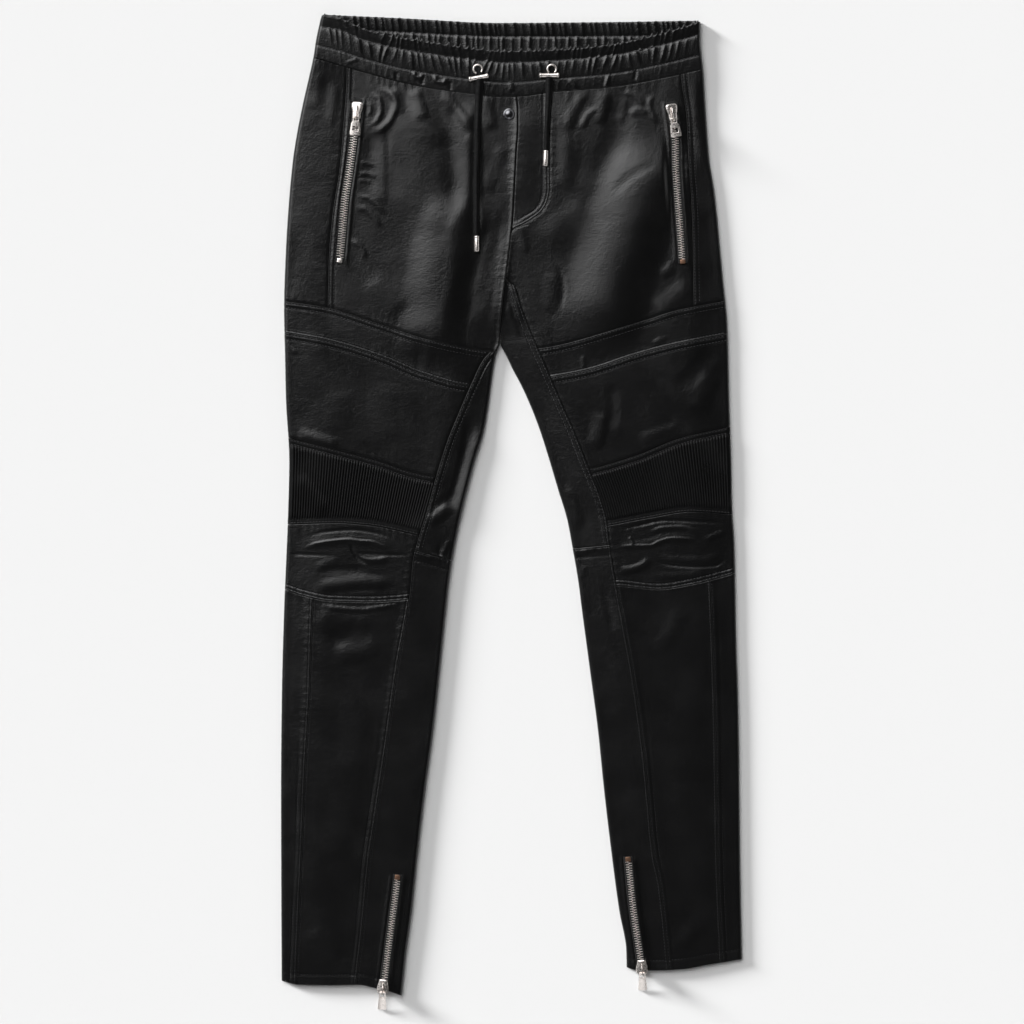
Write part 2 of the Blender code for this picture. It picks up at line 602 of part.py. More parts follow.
# For each zip: line of the tape from its top, hinge axis, heading and droop of the tab in
# degrees, slider, tab, and whether the slider is at the top or the foot
ZIPS = {
    "zip_pocket_l": dict(line=((-162.7, 436.5), (-167, 395), (-171, 363.5), (-176, 329.5),
                               (-180.7, 275.5), (-182, 263)),
                         hinge=(-164, 417), heading=-4.5, droop=5.0, slider=SLIDER_WIDE_FAR,
                         tab=POCKET_TAB, slider_at="top", stop="nickel"),
    "zip_pocket_r": dict(line=((168, 433), (171.2, 411), (173.3, 393), (174, 363.5),
                               (176.8, 322), (180.2, 276.5), (181, 262)),
                         hinge=(171, 415), heading=9.0, droop=5.0, slider=SLIDER_WIDE_FAR,
                         tab=POCKET_TAB, slider_at="top", stop="copper"),
    "zip_ankle_l": dict(line=((-120.5, -384), (-122, -397.7), (-125.2, -422), (-129.5, -454),
                              (-134.5, -494.7), (-135.8, -505)),
                        hinge=(-136.4, -508), heading=-3.0, droop=28.0,
                        slider=SLIDER_WIDE_NEAR, tab=ANKLE_TAB, slider_at="foot",
                        stop="copper"),
    "zip_ankle_r": dict(line=((123, -365), (124.9, -385), (127.3, -410), (130.5, -434.8),
                              (136.2, -473.5), (137.3, -484)),
                        hinge=(138, -487.5), heading=3.0, droop=28.0,
                        slider=SLIDER_WIDE_NEAR, tab=ANKLE_TAB, slider_at="foot",
                        stop="copper"),
}


def stations(line, start, end):
    """Evenly spaced points and cross directions on a line between two heights y."""
    x_at = along(*line)
    count = max(2, round(abs(start - end) / STEP) + 1)
    y = np.linspace(start, end, count)
    x = x_at(y)
    slope = np.gradient(x, y)
    length = np.hypot(1, slope)
    return x, y, 1 / length, -slope / length


def strip(name, line, start, end, section, base, slot):
    """Strip along a line: section rows are offset across, low and high above its base."""
    x, y, right_x, right_y = stations(line, start, end)
    offset, low, high = np.array(section).T
    grid_x = x[:, None] + right_x[:, None] * offset
    grid_y = y[:, None] + right_y[:, None] * offset
    floor = base(y)[:, None]
    bm = slab_mesh(grid_x, grid_y, floor + low, floor + high, flat=("low", "high"))
    return add_mesh(name, bm, slot)


def zip_base(line):
    """Height of the leather under a zip, as a function of y."""
    x, y, _, _ = stations(line, line[0][1], line[-1][1])
    return curve(*((at, rest_height(px, at, TAPE_HALF)) for px, at in zip(x, y)))


def slider_object(name, shape, matrix):
    """Slider body with the arched crown that the pull tab's bar runs under."""
    place, half = np.array(shape).T
    x = half[:, None] * np.array((-1, -0.8, 0.8, 1))
    y = np.repeat(place[:, None], 4, axis=1)
    top = np.tile((-EDGE_DROP, 0.0, 0.0, -EDGE_DROP), (len(place), 1))
    body = add_mesh(name, slab_mesh(x, y, np.full_like(x, -SLIDER_BODY), top), "nickel")
    # the crown: distance from the hinge axis, inside, outside (above the body's top)
    last = place[-1] - CROWN_INSET
    roof = HINGE_OVER_BODY + BAR_ROOM
    near, far, sheer = -BAR_ROOM, last - CROWN_FOOT, 0.02
    side = ((near - CROWN_THICK, -CROWN_SUNK, roof - 0.4),
            (near, -CROWN_SUNK, roof + CROWN_THICK),
            (near + sheer, roof, roof + CROWN_THICK),
            (far, roof - 0.3, roof + CROWN_THICK - 0.2),
            (far + sheer, -CROWN_SUNK, roof + 0.5),
            (last, -CROWN_SUNK, roof - 1.5))
    place, low, high = np.array(side).T
    x = np.tile((-CROWN_HALF, CROWN_HALF), (len(side), 1))
    y = np.repeat(place[:, None], 2, axis=1)
    bm = slab_mesh(x, y, np.repeat(low[:, None], 2, axis=1), np.repeat(high[:, None], 2, axis=1))
    crown = add_mesh(name + "_crown", bm, "nickel", CUTTERS)
    crown.hide_render = True
    crown.display_type = "WIRE"
    for item in (body, crown):
        item.matrix_world = matrix
    union = body.modifiers.new("crown", "BOOLEAN")
    union.operation = "UNION"
    union.object = crown
    return body


def tab_object(name, shape, window, matrix):
    """Pull tab with its eye, pointing away from the hinge axis along -Y."""
    place, half = np.array(shape).T
    inner = EYE_HALF
    x = np.column_stack((-half, np.full_like(half, -inner), np.full_like(half, inner), half))
    y = np.repeat(-place[:, None], 4, axis=1)
    holes = [(1, 1)]
    if window:
        x[3:5, 1] = -window
        x[3:5, 2] = window
        holes.append((3, 1))
    low = np.full_like(x, -TAB_THICK / 2)
    item = add_mesh(name, slab_mesh(x, y, low, low + TAB_THICK, ("low", "high"), holes=holes), "nickel")
    item.matrix_world = matrix
    return item


def zips():
    for name, spec in ZIPS.items():
        line = spec["line"]
        top, foot = line[0][1], line[-1][1]
        base = zip_base(line)
        hinge_x, hinge_y = spec["hinge"]
        strip(name + "_tape", line, top, foot,
              ((-TAPE_HALF, SEAM, SEAM + TAPE_THICK), (TAPE_HALF, SEAM, SEAM + TAPE_THICK)),
              base, "black_tape")
        if spec["slider_at"] == "top":
            chain_top = hinge_y - TONGUE - SEAM - 0.2
            chain_foot = foot + STOP_LENGTH + SEAM
            stop_top, stop_foot = foot + STOP_LENGTH, foot + 0.2
        else:
            chain_top = top - STOP_LENGTH - SEAM
            chain_foot = hinge_y + spec["slider"][-1][0] + SEAM + 0.2
            stop_top, stop_foot = top - 0.2, top - STOP_LENGTH
        low, high = ON_TAPE, ON_TAPE + CHAIN_HIGH
        strip(name + "_chain", line, chain_top, chain_foot,
              ((-CHAIN_HALF, low, high - 0.6), (-CHAIN_HALF + 0.9, low, high),
               (CHAIN_HALF - 0.9, low, high), (CHAIN_HALF, low, high - 0.6)), base, "nickel")
        strip(name + "_stop", line, stop_top, stop_foot,
              ((-CHAIN_HALF, low, high + 0.2), (CHAIN_HALF, low, high + 0.2)), base,
              spec["stop"])
        far = hinge_y + spec["slider"][-1][0]
        level = float(max(base(min(at, top)) for at in np.linspace(hinge_y - TONGUE, far, 6)))
        body_top = level + ON_TAPE + SLIDER_BODY
        heading = Matrix.Rotation(math.radians(spec["heading"]), 4, "Z")
        place = Matrix.Translation(Vector((hinge_x, hinge_y, body_top)) * MM)
        slider_object(name + "_slider", spec["slider"], place @ heading)
        droop = Matrix.Rotation(math.radians(spec["droop"]), 4, "X")
        axis = Matrix.Translation(Vector((hinge_x, hinge_y, body_top + HINGE_OVER_BODY)) * MM)
        tab_object(name + "_tab", spec["tab"]["shape"], spec["tab"]["window"],
                   axis @ heading @ droop)


# Drawcord hardware
RING_RADIUS = 4.6
RING_WIRE = 0.75
BAR_RADIUS = 2.0
BAR_LENGTH = 21.5
CORD_RADIUS = 2.6
AGLET_RADIUS = 2.7
AGLET_LENGTH = 15.5
CORD_STEP = 2.5 * 2 * CORD_RADIUS
SNAP_PLACE = (-2.5, 420.5)
# dome of the snap: radius, height
SNAP_SHAPE = ((0, 2.4), (2.4, 2.2), (4.4, 1.6), (5.7, 0.8), (6.1, 0), (0, 0))
SNAP_STEPS = 16

# For each side: ring centre, gap of the ring in degrees, bar centre and tilt in degrees,
# route of the cord, and end of its aglet
DRAWCORDS = {
    "l": dict(ring=(-35.7, 468), gap=70, gap_at=-75, bar=(-34.8, 458.9), tilt=11,
              route=((-33.2, 456.2, 10.3), (-34.0, 446, 9.9), (-35.2, 430, 9.1),
                     (-35.9, 400, 9.55), (-36.6, 370, 9.75), (-36.9, 340, 9.9),
                     (-36.9, 312, 9.95), (-36.8, 290.6, 9.95)),
              tip=(-36.7, 274.8, 10.0)),
    "r": dict(ring=(42.5, 468), gap=80, gap_at=-90, bar=(39.8, 461.2), tilt=0,
              route=((39.9, 458.8, 10.2), (39.6, 446, 9.9), (38.6, 428, 9.8),
                     (37.4, 405, 10.2), (36.2, 380.8, 10.4)),
              tip=(35.6, 365.3, 10.55)),
}


def wire(name, points, radius, slot, resolution=2):
    """Round wire through points in millimetres."""
    data = bpy.data.curves.new(name, "CURVE")
    data.dimensions = "3D"
    data.bevel_depth = radius * MM
    data.bevel_resolution = resolution
    data.use_fill_caps = True
    spline = data.splines.new("POLY")
    spline.points.add(len(points) - 1)
    for target, point in zip(spline.points, points):
        target.co = (*(Vector(point) * MM), 1)
    data.materials.append(finish_material(slot))
    item = bpy.data.objects.new(name, data)
    PARTS.objects.link(item)
    return item


def smooth_route(route, step):
    """Evenly spaced points on a smooth curve through the route's points."""
    points = np.array(route, dtype=float)
    run = np.concatenate(([0], np.cumsum(np.linalg.norm(np.diff(points, axis=0), axis=1))))
    count = max(3, round(run[-1] / step) + 1)
    at = np.linspace(0, run[-1], count)
    axes = [curve(*zip(run, points[:, axis]))(at) for axis in range(3)]
    return [tuple(point) for point in np.column_stack(axes)]


def drawcords():
    for side, spec in DRAWCORDS.items():
        bar_x, bar_y = spec["bar"]
        level = rest_height(bar_x, bar_y, BAR_LENGTH / 2.5) + SEAM
        gap = math.radians(spec["gap"])
        middle = math.radians(spec["gap_at"])
        ring_x, ring_y = spec["ring"]
        sweep = np.linspace(middle + gap / 2, middle + 2 * math.pi - gap / 2, 14)
        ring = [(ring_x + RING_RADIUS * math.cos(angle), ring_y + RING_RADIUS * math.sin(angle),
                 level + RING_WIRE) for angle in sweep]
        wire("toggle_ring_" + side, ring, RING_WIRE, "nickel", 1)
        bm = bmesh.new()
        turn = Matrix.Rotation(math.radians(spec["tilt"]), 4, "Z") @ Matrix.Rotation(math.pi / 2, 4, "Y")
        bmesh.ops.create_cone(bm, cap_ends=True, segments=12, radius1=BAR_RADIUS * MM,
                              radius2=BAR_RADIUS * MM, depth=BAR_LENGTH * MM)
        bar = add_mesh("toggle_bar_" + side, bm, "nickel")
        bar.matrix_world = Matrix.Translation(Vector((bar_x, bar_y, level + BAR_RADIUS)) * MM) @ turn
        wire("drawcord_" + side, smooth_route(spec["route"], CORD_STEP), CORD_RADIUS,
             "black_leather")
        end = Vector(spec["route"][-1])
        way = Vector(spec["tip"]) - end
        bm = bmesh.new()
        bmesh.ops.create_cone(bm, cap_ends=True, segments=12, radius1=AGLET_RADIUS * MM,
                              radius2=AGLET_RADIUS * MM, depth=AGLET_LENGTH * MM)
        aglet = add_mesh("aglet_" + side, bm, "nickel")
        centre = end + way.normalized() * (AGLET_LENGTH / 2 + SEAM)
        aglet.matrix_world = (Matrix.Translation(centre * MM)
                              @ way.to_track_quat("Z", "Y").to_matrix().to_4x4())


def snap():
    """Turned dome of the snap, on the -X front beside the fly."""
    mesh = bpy.data.meshes.new("snap")
    points = [(radius * MM, 0, height * MM) for radius, height in SNAP_SHAPE]
    mesh.from_pydata(points, [(k, k + 1) for k in range(len(points) - 1)], [])
    mesh.materials.append(finish_material("dark_snap"))
    item = bpy.data.objects.new("snap", mesh)
    PARTS.objects.link(item)
    x, y = SNAP_PLACE
    level = rest_height(x - 1.5, y, 4.5) + SEAM
    item.location = Vector((x, y, level)) * MM
    turned = item.modifiers.new("turned", "SCREW")
    turned.steps = SNAP_STEPS
    turned.render_steps = SNAP_STEPS
    turned.use_merge_vertices = True
    turned.merge_threshold = 0.00001
    turned.use_smooth_shade = True


backs()
waistbands()
hips()
legs()
zips()
drawcords()
snap()
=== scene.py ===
"""Looks of the black leather trousers that lie flat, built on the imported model.

Sizes are in millimetres and become metres in the meshes. The ground is z = 0, +Y runs from
the hems to the waist, and names ending in _l are at -X.

Every leather panel is a fine shell between the same seam lines as its solid. Its height is
the solid's own crown plus relief: broad slopes, folds, creases, seams, ribs and gathers.
"""
import math

import bmesh
import bpy
import numpy as np
from mathutils import Matrix, Vector


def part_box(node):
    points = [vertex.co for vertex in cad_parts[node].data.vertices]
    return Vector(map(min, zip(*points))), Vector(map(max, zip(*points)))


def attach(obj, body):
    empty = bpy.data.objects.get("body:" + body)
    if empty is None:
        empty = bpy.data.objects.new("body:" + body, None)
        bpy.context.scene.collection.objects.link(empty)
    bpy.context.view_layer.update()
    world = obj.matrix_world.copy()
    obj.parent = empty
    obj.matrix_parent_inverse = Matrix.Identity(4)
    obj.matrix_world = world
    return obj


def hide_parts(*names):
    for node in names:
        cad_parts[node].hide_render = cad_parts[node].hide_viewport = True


MM = 0.001
BODY = "trousers"

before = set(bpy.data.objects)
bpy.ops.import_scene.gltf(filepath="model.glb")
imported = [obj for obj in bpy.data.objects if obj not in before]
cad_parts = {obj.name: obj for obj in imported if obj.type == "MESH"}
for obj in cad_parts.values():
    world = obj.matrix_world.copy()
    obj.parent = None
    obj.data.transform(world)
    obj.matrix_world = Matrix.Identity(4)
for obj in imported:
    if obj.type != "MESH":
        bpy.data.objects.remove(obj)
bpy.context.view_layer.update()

# Walls and gaps, as in the solids
SEAM = 0.3
WALL = 2.0
BACK_HIGH = 2.0
FRONT_LOW = BACK_HIGH + SEAM
BAND_LOW = 3.8
BACK_INSET = 4.0
CROTCH = (-12.3, 177.0)
CROTCH_RUN = 9.0


def mix(low, high, share):
    return low + (high - low) * share


def smooth(t):
    t = np.clip(t, 0, 1)
    return t * t * (3 - 2 * t)


def curve(*points):
    """Smooth function through (at, value) points that never overshoots them."""
    at, value = np.array(sorted(points), dtype=float).T
    rise = np.diff(value) / np.diff(at)
    product = rise[:-1] * rise[1:]
    total = np.where(product > 0, rise[:-1] + rise[1:], 1.0)
    slope = np.concatenate(([rise[0]], np.where(product > 0, 2 * product / total, 0.0), [rise[-1]]))

    def read(t):
        t = np.asarray(t, dtype=float)
        k = np.clip(np.searchsorted(at, t) - 1, 0, len(at) - 2)
        span = at[k + 1] - at[k]
        s = np.clip((t - at[k]) / span, 0, 1)
        inside = ((1 + 2 * s) * (1 - s) ** 2 * value[k] + s * (1 - s) ** 2 * span * slope[k]
                  + s * s * (3 - 2 * s) * value[k + 1] - s * s * (1 - s) * span * slope[k + 1])
        before = np.minimum(t - at[0], 0) * slope[0]
        after = np.maximum(t - at[-1], 0) * slope[-1]
        return inside + before + after

    return read


def stretch(line, at):
    """Length of a line for each millimetre of its run."""
    return np.hypot(1, line(at + 0.5) - line(at - 0.5))


def run_along(points):
    """Distance of each point from the first, along a line through them."""
    return np.concatenate(([0], np.cumsum(np.linalg.norm(np.diff(points, axis=0), axis=1))))


def across(*points):
    """Line that runs across the garment: y as a function of x, from (x, y) points."""
    return curve(*points)


def along(*points):
    """Line that runs down the garment: x as a function of y, from (x, y) points."""
    return curve(*((y, x) for x, y in points))


# Outline, from the waist down
OUTER_L = along((-201, 527.5), (-207, 500), (-210, 481), (-220, 436.5), (-226.5, 404.5),
                (-231.5, 373), (-236, 325), (-239, 277.5), (-241, 214), (-240, 166),
                (-239, 118.5), (-235.5, 55), (-237, -8.5), (-239, -56.5), (-241, -104),
                (-243.5, -199.5), (-244.3, -295), (-244, -411.5), (-243.5, -507))
OUTER_R = along((200, 527.5), (200, 500), (203, 468.5), (205, 436.5), (207, 404.5),
                (209.5, 373), (214.5, 341), (218, 309.5), (221, 277.5), (224, 245.5),
                (228.5, 198), (230.5, 118.5), (232.5, 55), (233.5, 7), (236, -35),
                (238, -136), (240, -199.5), (241, -263), (242, -358.5), (244.3, -485.5))
INNER_L = along((-12.9, 177), (-16.5, 166), (-19.5, 150.5), (-23, 124), (-29, 86.5),
                (-38.5, 55), (-47, 23), (-54.5, -8.5), (-61, -40.5), (-66, -72.5),
                (-69.5, -104), (-76, -167.5), (-83, -231.5), (-91.5, -295), (-99, -358.5),
                (-105.5, -422), (-112, -470), (-116.5, -514.5))
INNER_R = along((-11.8, 177), (-6, 166), (1.5, 150.5), (10, 134.5), (17.5, 118.5),
                (30, 86.5), (40, 55), (49.5, 23), (59, -8.5), (65, -40.5), (70.5, -72.5),
                (74.5, -104), (83, -167.5), (91.5, -231.5), (98, -295), (105.5, -358.5),
                (114, -422), (121.5, -464.5), (122, -485.5))

# Waist lines
FRONT_RIM = across((-201, 527.2), (-185, 525), (-156.5, 513), (-122.5, 504.5), (-86.5, 499),
                   (-44, 492.5), (-7, 489.5), (51.5, 491), (104.5, 496), (147, 505),
                   (173.5, 512), (200, 520.5))
BACK_RIM = across((-201, 527.4), (-116, 523.5), (-12, 518.5), (107.5, 519.5), (200, 521))
WAIST = across((-209.5, 480), (-169, 468.5), (-99, 450.5), (-40, 442), (-7, 438.5),
               (12, 439.5), (45, 444), (104.5, 449), (166, 460), (203, 468.5))
BACK_WAIST = across((-210, 480), (-100, 472), (0, 469), (100, 468), (203, 469))

# Seams of the hips
SIDE_L = along((-174.5, 479), (-174.5, 466), (-177.5, 415.5), (-182, 363.5),
               (-190, 309.5), (-193.5, 265), (-194.5, 216))
SIDE_R = along((178.5, 468.5), (179.5, 457.5), (185, 415.5), (187.5, 363.5),
               (190, 330), (191.5, 281.5), (192.5, 216))
CENTRE = along((4.6, 447), (5.6, 438.5), (6.8, 424), (6.7, 404.5), (5.2, 383.5),
               (3.5, 351.5), (2, 320), (0.5, 300), (-2, 277.5), (-4, 260.5), (-8.5, 226),
               (-11.5, 195), (-12.3, 177))
FLY = ((41, 452.5), (40, 438.5), (40, 341), (37.5, 328.5), (31.5, 318), (20.5, 309.5),
       (9, 303), (2.5, 300), (0.2, 296))

# Seams of the legs that run down
INSEAM_L = along((-20.5, 171.5), (-30, 161), (-43, 134.5), (-56, 104.5), (-69, 72),
                 (-79.5, 38.5), (-90.5, -1.5), (-99, -30), (-104.5, -51), (-107.5, -84),
                 (-121.5, -165.5), (-132, -241), (-144, -321.5), (-150.5, -365.5),
                 (-158.5, -446.5), (-165, -501.5))
GUSSET_R = ((2.8, 239.6), (12, 212), (23, 184), (34.5, 158), (51.5, 118.5))
INSEAM_R = along(*GUSSET_R, (68, 81), (82, 45.5), (93.5, 17), (100.5, -8.5), (104, -36.5),
                 (111, -78.5), (131, -191), (141, -269.5), (150, -362.5), (156.5, -394),
                 (164.5, -468.5), (166, -485.5))
HIP_R_WEST = along(*FLY, (-2, 277.5), (-4, 260.5), (-5.6, 247.6), *GUSSET_R)
SHIN_L = along((-210.5, -83), (-212.5, -136), (-214.5, -197.5), (-218, -259), (-222, -353),
               (-227.5, -477), (-228.5, -503.5))
SHIN_R = along((209.5, -67), (212.5, -136), (215.5, -238), (217.5, -362.5), (222, -472),
               (222.5, -481.5))

# Seams of the legs that run across
THIGH_TOP_L = across((-241, 223), (-194.5, 216), (-138.5, 198.5), (-91, 183), (-54.5, 174.5),
                     (-23, 169.7), (-12, 169))
THIGH_TOP_R = across((19.5, 171.5), (48, 176), (79.5, 184), (143.5, 203.5), (174, 213),
                     (229.5, 224))
THIGH_LOW_L = across((-241, 190), (-197, 182), (-138.5, 164.5), (-96, 147), (-48.5, 134),
                     (-33.5, 132.5))
THIGH_LOW_R = across((30, 141.5), (42, 143), (79.5, 150), (131.5, 166.5), (167, 176),
                     (229.5, 188.5))
KNEE_TOP_L = across((-237, 78.5), (-185.5, 65.5), (-138.5, 53), (-105.5, 42), (-79.5, 37),
                    (-70.5, 36.5))
KNEE_TOP_R = across((72.5, 43), (84.5, 45.5), (131.5, 59.5), (178.5, 78), (233.5, 90.5))
KNEE_LOW_L = across((-238, -13.5), (-185.5, -12), (-150, -14.5), (-103, -24), (-91.5, -26.5))
KNEE_LOW_R = across((94, -16), (103.5, -14.5), (146, -6.5), (190.5, 0), (236, -3))
SHIRR_LOW_L = across((-241, -82), (-221, -88.5), (-190.5, -94.5), (-150, -95.5), (-115, -93.5),
                     (-103.5, -91.5))
SHIRR_LOW_R = across((102.5, -78), (107.5, -78), (155.5, -82), (190.5, -77), (239, -64.5))
CROSS_L = across((-107.5, -38.5), (-104.5, -39.5), (-59, -53))
CROSS_R = across((62, -39), (66.5, -38.5), (106.5, -34.5))
HEM_L = across((-244.5, -496.5), (-225, -501), (-194.5, -501.5), (-161.5, -501), (-144, -504.5),
               (-129, -508), (-115, -513))
HEM_R = across((120.5, -482), (132, -485.5), (147, -486), (180.5, -484.5), (207, -480),
               (244.5, -474))
GUSSET_TOP_R = across((-6.2, 246.6), (2.8, 239.6))

# The solid's crown above FRONT_LOW at each height
CROWN = curve((470, 1.6), (400, 2.2), (320, 2.6), (200, 2.6), (60, 2.2), (-60, 2.1),
              (-200, 1.8), (-400, 1.5), (-515, 0.8))
CROWN_RUN = 45.0
WAIST_RUN = 40.0

